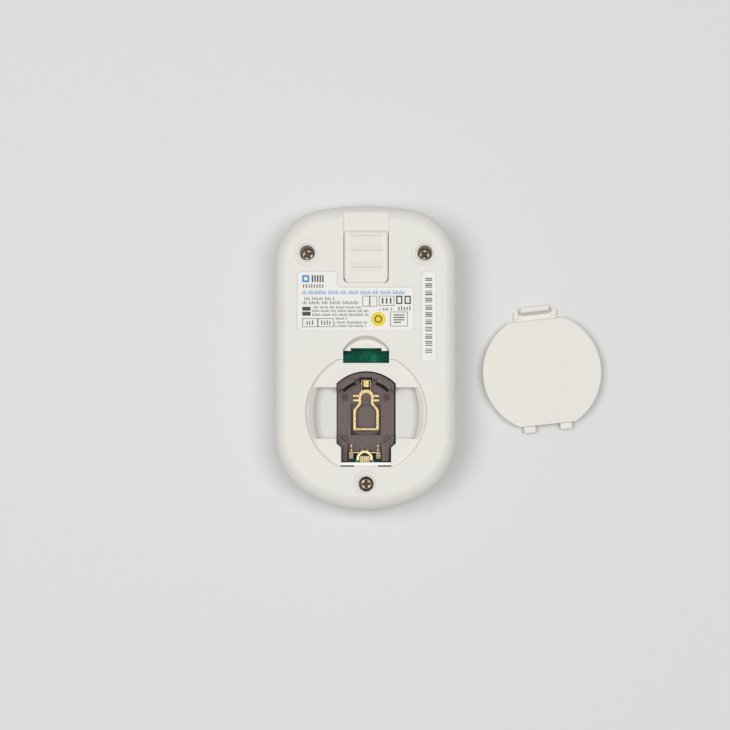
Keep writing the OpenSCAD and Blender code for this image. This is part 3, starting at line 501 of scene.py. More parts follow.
# hard-coated cast acrylic: clear, with hardly visible wipe marks
look = dict(colour="#f4f7f7", ior=1.49, wipeSize=1.8 * mm, rough=(0.02, 0.08))
values = {"Base Color": linear(look["colour"]), "IOR": look["ior"], "Transmission Weight": 1.0}
acrylic, tree, shader, place = newMaterial("hardCoatedAcrylic", values)
wipe = addNode(tree, "TexNoise", {"Vector": place, "Scale": 1 / look["wipeSize"], "Detail": 5.0})
spread = dict(zip(("To Min", "To Max"), look["rough"]))
rough = addNode(tree, "MapRange", {"Value": wipe, "From Min": 0.4, "From Max": 0.8, **spread})
setInputs(tree, shader, {"Roughness": rough})

# elastomer connector: thin black carbon layers between pink ones, drawn coarser than real, to show
look = dict(carbon="#3a3233", silicone="#dba6a4", pitch=0.5 * mm, roughness=0.6)
zebra, tree, shader, place = newMaterial("layeredSilicone", {"Roughness": look["roughness"]})
wave = {"Vector": place, "Scale": wavePitch / look["pitch"]}
layers = addNode(tree, "TexWave", wave, "Fac", bands_direction="X")
setInputs(tree, shader, {"Base Color": blendColours(tree, layers, look["carbon"], look["silicone"])})
print("materials made")

# the shells, the door and the holder: CAD shapes with rounded moulded edges
shellEdges = dict(round=0.12 * mm, steps=2, angle=30, clamp=False, flat=0.4)
fineEdges = dict(round=0.03 * mm, steps=2, angle=30, clamp=True, flat=0)
rearEdges = dict(shellEdges, round=0.05 * mm)   # more would fold over its lowest steps
finishedCopy("rear_shell", rearEdges, caseAbs)
finishedCopy("front_shell", shellEdges, caseAbs)
finishedCopy("battery_door", shellEdges, doorAbs, "door")
finishedCopy("battery_holder", fineEdges, holderNylon)

# low lip along the thumb end of the bay window, where the door's edge rubs
lipLook = dict(plan=(-7.1, 7.1, -30.98, -30.14), levels=(16.45, 16.6), round=0.04 * mm)
bayLip = makePiece("bayLip", blocks(lipLook["plan"], *lipLook["levels"]), lipAbs)
roundEdges(bayLip, dict(fineEdges, round=lipLook["round"]))
print("shells finished")

# ejector slider: a plate with three thumb ridges over the CAD's block and shutter, and a thin flange
# under the plate's sides, which the gap beside the plate shows
sliderLook = dict(
    plate=0.75, corner=1.2, cornerFar=0.15, bow=180.0, edge=0.22, sunk=0.3, nose=0.6, noseDrop=0.35,
    longer=0.3, halfWidth=6.12, near=14.78, flangeHalf=6.3, flangeEnds=(1.2, 0.4),
    flangeLevels=(0.02, 0.1), ridges=(1.56, 5.76, 10.68), ridge=0.24, slope=1.7, step=0.16, trail=0.9,
    fade=(4.1, 5.0), rows=220, columns=64, cut=0.02, cutLift=0.06)


def sliderPlate(look):
    # the plan is a rounded rectangle whose far edge bows; the height is a level less a rounded rim and
    # a nose that falls away at the far edge, plus straight ridges that climb slowly, end in a step
    # and fade out near the sides
    highest = nodeBox("ejector_slider")[1]
    top, far = highest[2] - look["sunk"], highest[1] + look["longer"]
    near = highest[1] - look["near"]
    across = np.linspace(-1, 1, look["columns"])[None, :]
    along = np.linspace(0, 1, look["rows"])[:, None]
    share = near + along * (far - near)

    def drawnIn(radius, distance):
        # how far a rounded corner draws the side in, at a distance from the end
        return radius - np.sqrt(np.maximum(0, radius ** 2 - np.maximum(0, radius - distance) ** 2))

    half = look["halfWidth"] - drawnIn(look["corner"], share - near)
    half = half - drawnIn(look["cornerFar"], far - share)
    x = across * half
    y = near + along * (far - near - x ** 2 / 2 / look["bow"])
    rim = np.minimum(np.minimum(half - np.abs(x), share - near), far - share)
    outwards = 1 - np.clip(rim / look["edge"], 0, 1)
    height = top - look["edge"] * (1 - np.sqrt(np.clip(1 - outwards ** 2, 0, 1)))
    height = height - look["noseDrop"] * smoothStep(share, far - look["nose"], far)
    sides = 1 - smoothStep(np.abs(x), *look["fade"])
    for ridge in look["ridges"]:
        behind = far - ridge - y
        climb = np.clip(1 + behind / look["slope"], 0, 1) * smoothStep(-behind, -look["step"], 0)
        trail = np.exp(-np.clip(behind, 0, None) / look["trail"])
        dip = smoothStep(behind, -look["step"], look["step"]) * trail
        height = height + look["ridge"] * sides * (climb - dip)
    upper = np.stack([x + 0 * height, y, height], -1)
    under = upper.copy()
    level = top - look["plate"]
    under[..., 2] = level
    half, (nearEnd, farEnd) = look["flangeHalf"], look["flangeEnds"]
    plan = (-half, half, near + nearEnd, far - farEnd)
    flange = blocks(plan, *(level + rise for rise in look["flangeLevels"]))
    return merged(slab(upper, under), flange), level


def sliderPiece(look):
    # the CAD's block is cut off under the new plate, and its cut top is lifted a little way into it
    solid, level = sliderPlate(look)
    builder = weldedCopy("ejector_slider")
    everything = list(builder.verts) + list(builder.edges) + list(builder.faces)
    cut = (level - look["cut"]) * mm
    bmesh.ops.bisect_plane(
        builder, geom=everything, plane_co=(0, 0, cut), plane_no=(0, 0, 1), clear_outer=True)
    bmesh.ops.holes_fill(builder, edges=[edge for edge in builder.edges if edge.is_boundary])
    for corner in builder.verts:
        if abs(corner.co.z - cut) < seamWeld:
            corner.co.z += look["cutLift"] * mm
    top = solidMesh("plate", solid)
    builder.from_mesh(top)
    bpy.data.meshes.remove(top)
    mesh = bpy.data.meshes.new("ejectorSlider")
    closeMesh(builder, mesh)
    placePiece("ejectorSlider", mesh, sliderAbs, ("ejector_slider",), "ejector", 50)


sliderPiece(sliderLook)
print("slider made")

# negative contact: one domed spring strip bent round a neck, with four side fingers, and a tongue
# between two rails that folds down into the holder; its origin is under the middle of the cell
springLook = dict(
    origin=(0.0, -16.0, 11.75), strip=1.0, dome=0.42, thick=0.38, round=0.185, halfBody=3.3,
    halfNeck=1.8, low=-4.52, shoulder=1.0, neck=2.75, top=6.42,
    bends=(0.5, 0.5, 0.8, 0.8, 1.75, 1.75, 0.8, 0.8), mitre=0.6, mitreWidth=1.24, wider=0.5,
    widerFrom=1.6, widerTo=0.2, rise=0.3, fingers=(3.78, 5.08), fingerWidth=1.02, fingerFrom=1.6,
    fingerLong=2.2, fingerLift=0.22, plate=(0.85, 7.65, 9.6), plateLevel=0.1, plateDome=0.03, rail=1.3,
    railWidth=0.32, railThick=0.53, railRound=0.13, railFrom=0.2, railTop=0.25, railRise=(0.1, 0.5),
    foot=(1.44, 0.3), footLevels=(-1.5, 0.1))


def negativeSpring(look):
    # the strip lies flat at its neck, rises in a smooth step towards its straight end, and widens the
    # same way to its top; fingers lift as a parabola and rails in a smooth step
    body, neck, low, top = look["halfBody"], look["halfNeck"], look["low"], look["top"]
    right = [(body, look["shoulder"]), (neck, look["neck"]), (neck, top)]
    corners = [(-body, low), (body, low), *right, *((-x, y) for x, y in right[::-1])]
    arcs = roundedPath(corners, look["bends"], 10).reshape(len(corners), -1, 2)
    # the straight end's two corners are mitred: one wider section at the corner, a plain one each side
    before = look["mitre"]
    mitres = [[(-body, low + before), (-body, low), (before - body, low)],
              [(body - before, low), (body, low), (body, low + before)]]
    plan = np.vstack([*mitres, *arcs[2:]])
    loop = pathPoints(*plan.T, look["rise"] * smoothStep(-plan[:, 1], -look["shoulder"], -low))
    widths = 1 + look["wider"] * smoothStep(plan[:, 1], top - look["widerFrom"], top - look["widerTo"])
    widths[[1, 4]] = look["mitreWidth"]
    solids = [sweep(loop, domedSection(look["strip"], look["dome"]), True, widths)]
    halfPlate, plateFrom, plateTo = look["plate"]
    railFrom = top + look["railFrom"]
    reach = np.linspace(0, 1, 9)
    for side in (-1, 1):
        for y in look["fingers"]:
            outwards = side * (look["fingerFrom"] + look["fingerLong"] * reach)
            tip = pathPoints(outwards, y, look["fingerLift"] * reach ** 2)
            solids.append(sweep(tip, domedSection(look["fingerWidth"], look["thick"])))
        rail = pathPoints(side * look["rail"], railFrom + (plateTo - railFrom) * reach,
                          look["railTop"] * smoothStep(reach, *look["railRise"]))
        solids.append(sweep(rail, roundSection(look["railWidth"], look["railThick"], look["railRound"])))
    dome = look["plateLevel"] + look["plateDome"] * np.sin(np.pi * reach)
    tongue = pathPoints(0.0, plateFrom + (plateTo - plateFrom) * reach, dome)
    solids.append(sweep(tongue, roundSection(2 * halfPlate, look["thick"], look["round"])))
    halfFoot, footLong = look["foot"]
    solids.append(blocks((-halfFoot, halfFoot, plateTo - footLong, plateTo), *look["footLevels"]))
    points, faces = merged(*solids)
    return points + look["origin"] + (0, 0, look["thick"] / 2), faces


makePiece("negativeContact", negativeSpring(springLook), rubbedGold, ("negative_contact",))

# a near-black block as painted shadow, standing for the shade in the slot in the holder that the tongue
# folds into
slotLook = dict(plan=(-1.14, 1.14, -8.86, -8.37), levels=(10.9, 12.0))
makePiece("tongueSlotShadow", blocks(slotLook["plan"], *slotLook["levels"]), shadedNylon)

# positive contact: two folded clips with a prong each, joined to a saddle that stands on a ribbed
# foot; heights are from the contact's top, and the thin parts' corners have one radius
saddleLook = dict(
    y=-29.0, corner=0.06, clip=3.9, clipWidth=1.25, clipLength=2.1, sheet=0.2, sheetLevel=-0.12,
    fold=0.72, foldDepth=0.15, blockInset=(0.1, 0.2), blockTop=-0.62, prong=(0.4, 0.22), prongInset=0.1,
    prongSpan=(1.9, 3.9), prongLevel=-0.5, prongRise=0.35, prongBend=(0.2, 0.9), bar=(0.3, 0.25),
    barLength=2.5, barY=1.75, barLevel=-0.55, barSag=0.1, bump=0.42, bumpPlace=(0.83, 2.42),
    bumpLevel=-0.45, ringRadius=1.95, ringWidth=0.98, ringHeight=0.75, ringRound=0.26, ringLevel=-0.55,
    legSpan=(-0.5, -0.05), foot=(1.6, -1.1, 0.75), footTop=-1.35, ribs=0.62, rib=0.12)


def positiveSaddle(look):
    low, high = nodeBox("positive_contact")
    centre, bottom = np.array([(low[0] + high[0]) / 2, look["y"], high[2]]), low[2] - high[2]
    run = np.linspace(0, 1, 16)
    solids = []
    for side in (-1, 1):
        # the clip's sheet folds down and up along Y as a cosine, over a plain block
        x = side * look["clip"]
        flow = look["clipLength"] * np.linspace(0, 1, 40)
        folds = look["foldDepth"] * (np.cos(2 * np.pi * flow / look["fold"]) - 1) / 2
        sheet = roundSection(look["clipWidth"], look["sheet"], look["corner"])
        solids.append(sweep(pathPoints(x, flow, look["sheetLevel"] + folds), sheet))
        halfClip, inset = look["clipWidth"] / 2 - look["blockInset"][0], look["blockInset"][1]
        solids.append(blocks((x - halfClip, x + halfClip, inset, look["clipLength"] - inset),
                             bottom, look["blockTop"]))
        start, end = look["prongSpan"]
        prong = pathPoints(x - side * look["prongInset"], start + (end - start) * run,
                           look["prongLevel"] + look["prongRise"] * smoothStep(run, *look["prongBend"]))
        bar = pathPoints(side * (look["clip"] - look["barLength"] * run), look["barY"],
                         look["barLevel"] - look["barSag"] * np.sin(np.pi * run))
        for path, size in ((prong, look["prong"]), (bar, look["bar"])):
            solids.append(sweep(path, roundSection(*size, look["corner"])))
        arc = np.linspace(0, np.pi, 12)
        ball = pathPoints(look["bump"] * np.sin(arc), look["bumpLevel"] + look["bump"] * np.cos(arc))
        solids.append(turned(ball, 16, (side * look["bumpPlace"][0], look["bumpPlace"][1])))
    # saddle: half a ring with a crowned top, drawn out into a short straight leg at each end
    angle, leg = np.linspace(0, np.pi, 40), np.linspace(*look["legSpan"], 4)
    x = np.concatenate([np.ones(4), np.cos(angle), -np.ones(4)]) * look["ringRadius"]
    y = np.concatenate([leg, look["ringRadius"] * np.sin(angle), leg[::-1]])
    section = roundSection(look["ringWidth"], look["ringHeight"], look["ringRound"], 5)
    solids.append(sweep(pathPoints(x, y, look["ringLevel"]), section))
    # foot: a slab whose height is a row of rounded ribs across X
    half, near, far = look["foot"]
    x, y = np.meshgrid(np.linspace(-half, half, 61), np.linspace(near, far, 9))
    rib = look["rib"] * np.abs(np.cos(np.pi * x / look["ribs"]))
    upper = np.stack([x, y, look["footTop"] + rib], -1)
    under = upper.copy()
    under[..., 2] = bottom
    points, faces = merged(*solids, slab(upper, under))
    return points + centre, faces


makePiece("positiveContact", positiveSaddle(saddleLook), goldFlash, ("positive_contact",))

# two tinned legs beside the foot, soldered to the board
legLook = dict(x=(-2.75, 1.95), half=0.14, y=(-30.05, -29.0), levels=(10.2, 10.6), round=0.06 * mm)
legBoxes = [(x - legLook["half"], x + legLook["half"], *legLook["y"]) for x in legLook["x"]]
solderedLegs = makePiece("solderedLegs", blocks(legBoxes, *legLook["levels"]), tinPlate)
roundEdges(solderedLegs, dict(fineEdges, round=legLook["round"]))
print("battery contacts made")

# screws: a pan head with a cross recess, each set turned its own way
caseScrewLook = dict(
    head=1.95, height=1.4, crown=0.62, shank=0.85, length=6.0, lip=1.42, lipRise=0.06, lipWidth=0.16,
    recess=0.95, taper=0.75, reach=1.18, slot=0.32, wall=0.26, seat=0.3, turns=(0.06, 0.5, 0.72))
boardScrewLook = dict(
    caseScrewLook, head=1.5, height=0.9, shank=0.7, length=5.0, lip=1.1, lipRise=0.04, recess=0.45,
    reach=0.8, slot=0.2, wall=0.14, turns=(0.3, 1.1))


def crossScrew(look, centre, seat, turn, steps=160):
    # head height: level less an eighth power of the radius, plus a raised ring; the cross is where the
    # distance across an arm is under half a slot, with sloping walls, and it deepens to the middle
    head, shank, slot, reach = look["head"], look["shank"], look["slot"], look["reach"]
    radius = np.concatenate([np.linspace(0, head, 60), [head, head, shank, shank, 0]])[:, None]
    angle = np.linspace(0, 2 * np.pi, steps, endpoint=False)[None, :]
    height = look["height"] * (1 - look["crown"] * (radius / head) ** 8)
    height = height + look["lipRise"] * (np.exp(-((radius - look["lip"]) / look["lipWidth"]) ** 2) - 1)
    x, y = np.abs(radius * np.cos(angle)), np.abs(radius * np.sin(angle))
    arm = np.minimum(np.maximum(x - slot, y - reach), np.maximum(y - slot, x - reach))
    depth = look["recess"] * (1 - look["taper"] * np.clip(radius / reach, 0, 1))
    height = height - depth * smoothStep(-arm, -look["wall"] / 2, look["wall"] / 2)
    under = [look["seat"] * look["height"], 0, 0, -look["length"], -look["length"]]
    height[-5:] = np.array(under)[:, None]
    return roundGrid(radius, seat + height, centre, angle + turn)


def screwPiece(name, nodeName, look, places, material):
    # a screw at each place, as high as the CAD's
    seat = nodeBox(nodeName)[1][2] - look["height"]
    solids = [crossScrew(look, place, seat, turn) for place, turn in zip(places, look["turns"])]
    return makePiece(name, merged(*solids), material, (nodeName,), sharpAngle=35)


low, high = nodeBox("case_screws")
x, farY = high[:2] - caseScrewLook["head"]
places = [(0, low[1] + caseScrewLook["head"]), (-x, farY), (x, farY)]
screwPiece("caseScrews", "case_screws", caseScrewLook, places, blackNickel)
low, high = nodeBox("board_screws")
x, middleY = high[0] - boardScrewLook["head"], (low[1] + high[1]) / 2
places = [(-x, middleY), (x, middleY)]
screwPiece("boardScrews", "board_screws", boardScrewLook, places, tinPlate)
print("screws made")

# circuit board: the CAD board, with copper under its solder mask and black print on it, where the latch
# window and the bay show it, and painted shade and light under the latch window's upper edge
boardLook = dict(
    sunk=0.02, copper=0.035, levelStep=0.004, fieldDrop=0.01, ink=0.05, trace=0.17, wideTrace=0.3,
    rising=((-2.6, -1.9), (-1.5, -1.9), (0.6, -1.6), (3.2, -1.9)), rise=(2.6, 3.9),
    falling=((-0.9, 2.4), (0.1, 2.4), (1.0, 2.4), (2.1, 2.4), (3.6, 2.4), (4.6, 2.4)), fall=(2.4, -4.2),
    upright=((-3.9, 0.28), (-3.3, 0.16), (5.9, 0.2)), uprightSpan=(-2.3, 4.4),
    # the last field, along the latch window's upper edge, is painted light where that edge shades the
    # board
    fields=((-6.8, -4.3, -2.3, 1.2), (1.4, 3.1, -1.2, 0.9), (-3.85, 3.85, 2.5, 3.3)),
    bayRuns=(((-4.6, -29.7), (-2.7, -28.8)), ((1.7, -29.7), (3.7, -28.9))),
    # the last two boxes, at the latch window's upper corners, are painted shade
    print=((-1.85, 1.85, -6.35, -5.6), (-5.4, -3.75, -28.6, -26.65), (-2.95, 4.6, -28.7, -26.65),
        (-5.4, -4.75, -30.05, -28.61), (3.75, 4.6, -30.05, -28.71), (-4.5, -3.9, 1.95, 3.3),
        (3.9, 4.5, 1.95, 3.3)))
boardTop = nodeBox("circuit_board")[1][2]


def boardCopper(look):
    # slanting, upright and short traces and copper fields, the last of them painted light, all just above
    # the board's face, and each kind at its own level, so that where they cross one covers the other
    low, high = boardTop - look["sunk"], boardTop + look["copper"]
    tracks = [bars(np.array(look[starts]), np.array(look[starts]) + look[way], look["trace"], low,
                   high + steps * look["levelStep"])
              for starts, way, steps in (("rising", "rise", 2), ("falling", "fall", 1))]
    x, widths = np.array(look["upright"]).T
    first, last = (pathPoints(x, y) for y in look["uprightSpan"])
    runs = np.array(look["bayRuns"])
    return merged(*tracks, bars(first, last, widths, low, high),
                  bars(runs[:, 0], runs[:, 1], look["wideTrace"], low, high),
                  blocks(look["fields"], low, high - look["fieldDrop"]))


makePiece("boardCopper", boardCopper(boardLook), copperMask)
boardPrintAndShade = blocks(boardLook["print"], boardTop - boardLook["sunk"], boardTop + boardLook["ink"])
makePiece("boardPrintAndShade", boardPrintAndShade, blackInk)
print("board finished")

# buttons: a dished cap with a rounded rim, a flange behind the front wall, a stem and a raised mark
capLook = dict(
    flange=1.0, flangeFrom=1.8, flangeTo=2.6, stem=1.4, dish=0.3, edge=0.28, markProud=0.07,
    markThick=0.16, markRound=0.05, ringRadius=2.1, ringGap=0.5, stroke=0.55, strokeSpan=(0.5, 1.25),
    triangle=1.5, bevel=(0.1, 0.06), triangleThick=0.2)


def buttonPiece(side, material, look):
    # profile from the middle of the face outwards: a dish that is a parabola, a quarter-round rim, the
    # side, the flange and the stem, all carried round the button's axis
    low, high = nodeBox(side + "_button")
    centre, radius, face = (low + high) / 2, (high[0] - low[0]) / 2 - look["flange"], low[2]
    flat, edge = radius - look["edge"], look["edge"]

    def surface(r):
        return face + look["dish"] * (1 - (r / flat) ** 2)

    r = np.linspace(0, flat, 24)
    angle = np.linspace(0, np.pi / 2, 7)[1:]
    rim = pathPoints(flat + edge * np.sin(angle), face + edge * (1 - np.cos(angle)))
    rest = [(radius, look["flangeFrom"]), (radius + look["flange"], look["flangeFrom"]),
            (radius + look["flange"], look["flangeTo"]), (look["stem"], look["flangeTo"]),
            (look["stem"], high[2]), (0, high[2])]
    profile = np.vstack([pathPoints(r, surface(r)), rim, rest])
    makePiece(side + "Button", turned(profile, 96, centre[:2]), material, (side + "_button",),
              side + "_key")
    return centre, surface


def mainButtonMark(centre, surface, look):
    # an open ring with a short stroke in its gap, lying on the dish
    angle = np.linspace(look["ringGap"], 2 * np.pi - look["ringGap"], 48) + np.pi / 2
    ring = look["ringRadius"] * pathPoints(np.cos(angle), np.sin(angle))
    stroke = pathPoints(0.0, np.linspace(*look["strokeSpan"], 8) * look["ringRadius"])
    solids = []
    for line in (ring, stroke):
        height = surface(np.hypot(*line.T)) - look["markProud"] + look["markThick"] / 2
        path = np.column_stack([line + centre[:2], height])
        solids.append(sweep(path, roundSection(look["stroke"], look["markThick"], look["markRound"])))
    return merged(*solids)


def sideButtonMark(centre, surface, look, turn):
    # a low triangle with bevelled edges: a profile carried round in three steps
    size, (inwards, up) = look["triangle"], look["bevel"]
    level = surface(0) - look["markProud"]
    top = level + look["triangleThick"]
    profile = [(0, level), (size - inwards, level), (size, level + up), (size, top), (0, top)]
    return turned(profile, 3, centre[:2], turn)


mark = mainButtonMark(*buttonPiece("main", blueCap, capLook), capLook)
makePiece("mainButtonMark", mark, capMark, body="main_key")
for side, turn in (("left", np.pi), ("right", 0)):
    mark = sideButtonMark(*buttonPiece(side, greyCap, capLook), capLook, turn)
    makePiece(side + "ButtonMark", mark, blueCap, body=side + "_key")
print("buttons made")

# display window: clear lens, dark printed border behind it, display with its unlit segments
windowLook = dict(
    thick=1.05, corner=3.0, border=0.03, borderInset=0.2, borderGap=0.005,
    inner=(-13.6, 13.6, 6.4, 22.6), innerCorner=1.0,
    edges=dict(round=0.14 * mm, steps=3, angle=30, clamp=True), segment=0.02, stroke=0.8,
    digits=((-6.6, 15.8), (0.0, 15.8), (6.6, 15.8)), digit=(2.0, 4.0),
    smallDigits=((-8.0, 8.5), (-5.2, 8.5), (-1.2, 8.5), (1.6, 8.5)), smallDigit=(0.75, 1.3),
    dots=((-3.4, -3.0, 7.7, 8.1), (-3.4, -3.0, 8.9, 9.3), (9.6, 10.4, 11.6, 12.4),
        (6.2, 11.6, 8.0, 8.5), (6.2, 10.0, 8.9, 9.3)))


def digitBars(places, half, stroke, low, high):
    # seven bars for each place, three across and four upright, with gaps at their ends
    x, y = half
    gap = 0.6 * stroke
    pattern = np.array([[(-x + gap, v), (x - gap, v)] for v in (-y, 0, y)]
                       + [[(u, v + gap), (u, v + y - gap)] for u in (-x, x) for v in (-y, 0)])
    ends = (np.asarray(places)[:, None, None] + pattern).reshape(-1, 2, 2)
    return bars(ends[:, 0], ends[:, 1], stroke, low, high)


def displaySegments(look):
    # large digits, small digits and marks, all standing a little out of the panel's face
    level = nodeBox("lcd_panel")[0][2]
    low, high = level - look["segment"], level + look["segment"] / 2
    return merged(digitBars(look["digits"], look["digit"], look["stroke"], low, high),
                  digitBars(look["smallDigits"], look["smallDigit"], look["stroke"] / 2, low, high),
                  blocks(look["dots"], low, high))


low, high = nodeBox("display_lens")


def lensOutline(inset):
    # the lens's rounded outline, drawn in by an inset all round
    plan = rectangle(low[0] + inset, high[0] - inset, low[1] + inset, high[1] - inset)
    return roundedPath(plan, windowLook["corner"] - inset, 10)


lensSolid = plate(lensOutline(0), low[2], low[2] + windowLook["thick"])
lens = makePiece("displayLens", lensSolid, acrylic, ("display_lens",))
roundEdges(lens, windowLook["edges"])
borderWindow = roundedPath(rectangle(*windowLook["inner"]), windowLook["innerCorner"], 10)
borderTop = high[2] - windowLook["borderGap"]
border = frameRing(lensOutline(windowLook["borderInset"]), borderWindow,
                   borderTop - windowLook["border"], borderTop)
makePiece("lensBorder", border, borderInk)
makePiece("displaySegments", displaySegments(windowLook), ghostInk)
print("display window made")

# parts inside: CAD shapes with slightly rounded edges
insideParts = {
    "lcd_panel": (display, "lcd_glass", 0.05), "lcd_carrier": (naturalNylon, "inner_plastic", 0.08),
    "zebra_strips": (zebra, "connector_rubber", 0.05), "circuit_board": (boardMask, "board_fr4", 0.03),
    "main_chip": (chipEpoxy, "chip_epoxy", 0.03), "quartz_crystal": (tinPlate, "tinned_metal", 0.05),
    "chip_components": (chipEpoxy, "chip_epoxy", 0.03), "buzzer": (chipEpoxy, "chip_epoxy", 0.06),
    "button_switches": (chipEpoxy, "chip_epoxy", 0.04),
    "strip_socket": (naturalNylon, "inner_plastic", 0.06),
    "socket_contacts": (goldFlash, "contact_gold", 0.02),
    "ejector_carriage": (naturalNylon, "inner_plastic", 0.06)}
for nodeName, (material, slotName, edge) in insideParts.items():
    body = "ejector" if nodeName == "ejector_carriage" else "case"
    finishedCopy(nodeName, dict(fineEdges, round=edge * mm), material, body)
print("inside parts finished")

# labels: two films with plain generic print, ticks and rules where the real ones have theirs
filmEdges = dict(fineEdges, round=0.04 * mm)
finishedCopy("rating_label", filmEdges, filmWhite)
finishedCopy("serial_label", filmEdges, filmWhite)
filmTop = nodeBox("rating_label")[1][2]
printLook = dict(
    proud=0.02, sunk=0.01, pitch=0.36, tick=0.18, line=0.15, gap=0.13, short=0.7, shortShare=0.6)


def tickRow(row, look, phase):
    # upright ticks on an even pitch, whose heights and gaps are left to chance
    x0, x1, y0, y1 = row
    number = np.arange(int((x1 - x0) / look["pitch"]))
    chance = (phase + number * goldenShare) % 1
    x = x0 + look["pitch"] * (number + 0.5)
    top = y0 + (y1 - y0) * np.where(chance > look["shortShare"], 1.0, look["short"])
    return pathPoints(x - look["tick"] / 2, x + look["tick"] / 2, y0, top)[chance > look["gap"]]


def makePrint(name, boxes, ink, outlines=(), line=printLook["line"]):
    # plain boxes, and outlines drawn with a line of one width
    low, high = filmTop - printLook["sunk"], filmTop + printLook["proud"]
    solids = [blocks(np.vstack(boxes), low, high)] if boxes else []
    for x0, x1, y0, y1 in outlines:
        inner = rectangle(x0 + line, x1 - line, y0 + line, y1 - line)
        solids.append(frameRing(rectangle(x0, x1, y0, y1), inner, low, high))
    return makePiece(name, merged(*solids), ink)


# rating label: rows of plain ticks, each set with its changes to the look and its phases
ratingRows = {
    "ratingSmallRows": (greyInk, {}, (0.0, 0.37), (
        (-15.5, -1.05, 13.95, 14.6), (-15.5, 0.96, 12.9, 13.6), (-15.5, 0.96, 11.8, 12.5),
        (-9.1, -5.3, 10.75, 11.4), (-9.1, 0.36, 9.6, 10.3), (-9.1, 0.2, 8.6, 9.3))),
    "ratingMediumRows": (greyInk, dict(pitch=0.46, tick=0.2), (0.0, 0.21), (
        (-18.3, -8.9, 16.35, 17.2), (-18.3, -1.85, 15.15, 16.1), (3.8, 7.9, 13.3, 14.2))),
    "ratingLargeRows": (greyInk, dict(pitch=0.78, tick=0.3, gap=0.0, short=0.85), (0.1, 0.2), (
        (-18.3, -11.4, 19.84, 21.0), (9.0, 12.9, 13.35, 14.6), (-17.3, -14.6, 9.2, 10.5),
        (-13.1, -9.9, 9.2, 10.5))),
    "ratingBlueRow": (paleBlueInk, dict(pitch=0.44, tick=0.24), (0.2, 0.0), (
        (-18.4, 11.4, 18.0, 19.15),))}
for name, (ink, changes, (phase, more), rows) in ratingRows.items():
    look = dict(printLook, **changes)
    makePrint(name, [tickRow(row, look, phase + more * index) for index, row in enumerate(rows)], ink)

# and its outlined boxes, bars, squared head and round mark
ratingLook = dict(
    boxes=((-1.05, 1.02, 14.5, 17.55), (1.08, 3.16, 14.5, 17.55), (3.68, 8.05, 14.7, 17.55),
        (6.9, 11.9, 8.8, 13.0), (-18.3, -13.84, 8.6, 11.1), (-13.8, -9.3, 8.6, 11.1)),
    bars=((4.5, 4.95, 15.3, 16.95), (5.65, 6.1, 15.3, 16.95), (6.8, 7.25, 15.3, 16.95),
        (7.8, 11.0, 11.9, 12.2), (7.8, 11.0, 11.2, 11.5), (7.8, 11.0, 10.5, 10.8),
        (7.8, 10.0, 9.8, 10.1), (-18.3, -15.9, 11.85, 13.0), (-18.3, -15.9, 13.3, 14.4)),
    thickBoxes=((8.6, 10.4, 15.2, 17.6), (11.0, 12.8, 15.2, 17.6)), thickLine=0.4,
    headBars=(-15.6, -14.85, -14.1, -13.35, -12.6), headBar=0.42, headSpan=(21.5, 23.5),
    headSquare=(-18.3, -16.3, 21.5, 23.5), squareLine=0.5, disc=(3.5, 10.9), discRadius=2.05,
    ringRadii=(1.1, 0.75), ringLevels=(0.01, 0.03))
makePrint("ratingBoxes", [ratingLook["bars"]], blackInk, ratingLook["boxes"])
makePrint("ratingThickBoxes", [], blackInk, ratingLook["thickBoxes"], ratingLook["thickLine"])
headBars = [(x, x + ratingLook["headBar"], *ratingLook["headSpan"]) for x in ratingLook["headBars"]]
makePrint("ratingHead", [headBars], blackInk)
makePrint("ratingHeadSquare", [], blueInk, (ratingLook["headSquare"],), ratingLook["squareLine"])
angle = np.linspace(0, 2 * np.pi, 48, endpoint=False)
circle = pathPoints(np.cos(angle), np.sin(angle))
disc, *rings = (ratingLook["disc"] + radius * circle
                for radius in (ratingLook["discRadius"], *ratingLook["ringRadii"]))
discSolid = plate(disc, filmTop - printLook["sunk"], filmTop + printLook["proud"])
makePiece("ratingDisc", discSolid, yellowInk)
ringSolid = frameRing(*rings, *(filmTop + rise for rise in ratingLook["ringLevels"]))
makePiece("ratingDiscRing", ringSolid, blackInk)

# serial label: plain bars across, in threes, each of one of three widths
serialLook = dict(x=(16.95, 18.95), y=(1.0, 23.3), pitch=0.52, widths=(0.2, 0.26, 0.34))


def serialBars(look):
    # chance picks each bar's width, and every fourth place is left bare
    number = np.arange(int((look["y"][1] - look["y"][0]) / look["pitch"]))
    number = number[number % 4 < 3]
    width = np.array(look["widths"])[(number * goldenShare % 1 * len(look["widths"])).astype(int)]
    y = look["y"][0] + look["pitch"] * (number + 0.5)
    return pathPoints(*look["x"], y - width / 2, y + width / 2)


makePrint("serialPrint", [serialBars(serialLook)], blackInk)
print("labels made")

# stage, lights and camera; each lamp has a place, a size and a power
stageLook = dict(
    floorSize=6.0, floorDrop=0.05 * mm, floorColour="#e7e7e7", fadeFrom=0.3, fadeTo=0.95,
    worldLevel=0.26, backdropLevel=0.76,
    lamps=(((-0.5, 0.02, 1.25), (0.7, 0.62), 6.9), ((0.34, 0.02, 1.25), (0.45, 0.62), 5.7)))


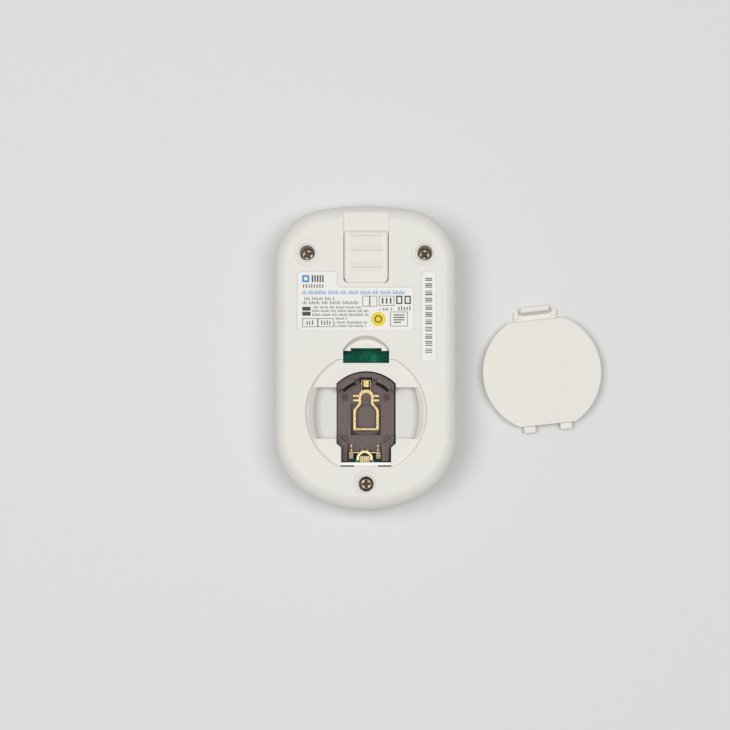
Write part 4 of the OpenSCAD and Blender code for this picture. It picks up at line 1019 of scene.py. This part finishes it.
def makeFloor(look):
    # matt paper: even and without gloss; far out the camera sees the backdrop through it
    half = look["floorSize"] / 2
    plan = pathPoints(*rectangle(-half, half, -half, half).T, -look["floorDrop"])
    mesh = bpy.data.meshes.new("floor")
    mesh.from_pydata(plan.tolist(), [], [(0, 1, 2, 3)])
    floor = bpy.data.objects.new("floor", mesh)
    scene.collection.objects.link(floor)
    values = {"Base Color": linear(look["floorColour"]), "Roughness": 0.9, "Specular IOR Level": 0.1}
    material, tree, shader, place = newMaterial("paperFloor", values)
    reach = addNode(tree, "VectorMath", {0: place}, "Value", operation="LENGTH")
    far = fade(tree, reach, look["fadeTo"], look["fadeFrom"])
    seen = addNode(tree, "LightPath", output="Is Camera Ray")
    clear = addNode(tree, "Math", {0: far, 1: seen}, operation="MULTIPLY")
    through = addNode(tree, "BsdfTransparent")
    mix = addNode(tree, "MixShader", {0: clear, 1: shader.outputs[0], 2: through})
    output = next(node for node in tree.nodes if node.type == "OUTPUT_MATERIAL")
    setInputs(tree, output, {"Surface": mix})
    mesh.materials.append(material)


def makeWorld(look):
    # low white light all round, and a pale backdrop for what the camera, gloss and glass see
    world = bpy.data.worlds.new("studio")
    world.use_nodes = True
    tree = world.node_tree
    seen = addNode(tree, "LightPath", output="Is Camera Ray")
    rays = seen.node.outputs
    for kind in ("Is Glossy Ray", "Is Transmission Ray"):
        seen = addNode(tree, "Math", {0: seen, 1: rays[kind]}, operation="MAXIMUM")
    levels = {"Value": seen, "To Min": look["worldLevel"], "To Max": look["backdropLevel"]}
    level = addNode(tree, "MapRange", levels)
    setInputs(tree, tree.nodes["Background"], {"Color": (1, 1, 1, 1), "Strength": level})
    scene.world = world


def makeLamps(look):
    # soft boxes, each turned to face the meter
    for index, (spot, size, power) in enumerate(look["lamps"]):
        lamp = bpy.data.lights.new(f"softBox{index}", "AREA")
        lamp.shape = "RECTANGLE"
        lamp.size, lamp.size_y = size
        lamp.energy = power
        box = bpy.data.objects.new(f"softBox{index}", lamp)
        box.location = spot
        box.rotation_mode = "QUATERNION"
        box.rotation_quaternion = box.location.to_track_quat("Z", "Y")
        scene.collection.objects.link(box)


cameraLook = dict(
    place=(-0.32 * mm, -36.3 * mm, 0.700), tilt=2.854, focal=2387, frame=730, sensor=36,
    clip=(0.01, 20))


def makeCamera(look):
    data = bpy.data.cameras.new("camera")
    data.sensor_width = look["sensor"]
    data.lens = look["sensor"] * look["focal"] / look["frame"]
    data.clip_start, data.clip_end = look["clip"]
    camera = bpy.data.objects.new("camera", data)
    camera.location = look["place"]
    camera.rotation_euler = (math.radians(look["tilt"]), 0, 0)
    scene.collection.objects.link(camera)
    scene.camera = camera


makeFloor(stageLook)
makeWorld(stageLook)
makeLamps(stageLook)
makeCamera(cameraLook)
scene.view_settings.view_transform = "Standard"
print("stage, light and camera set")
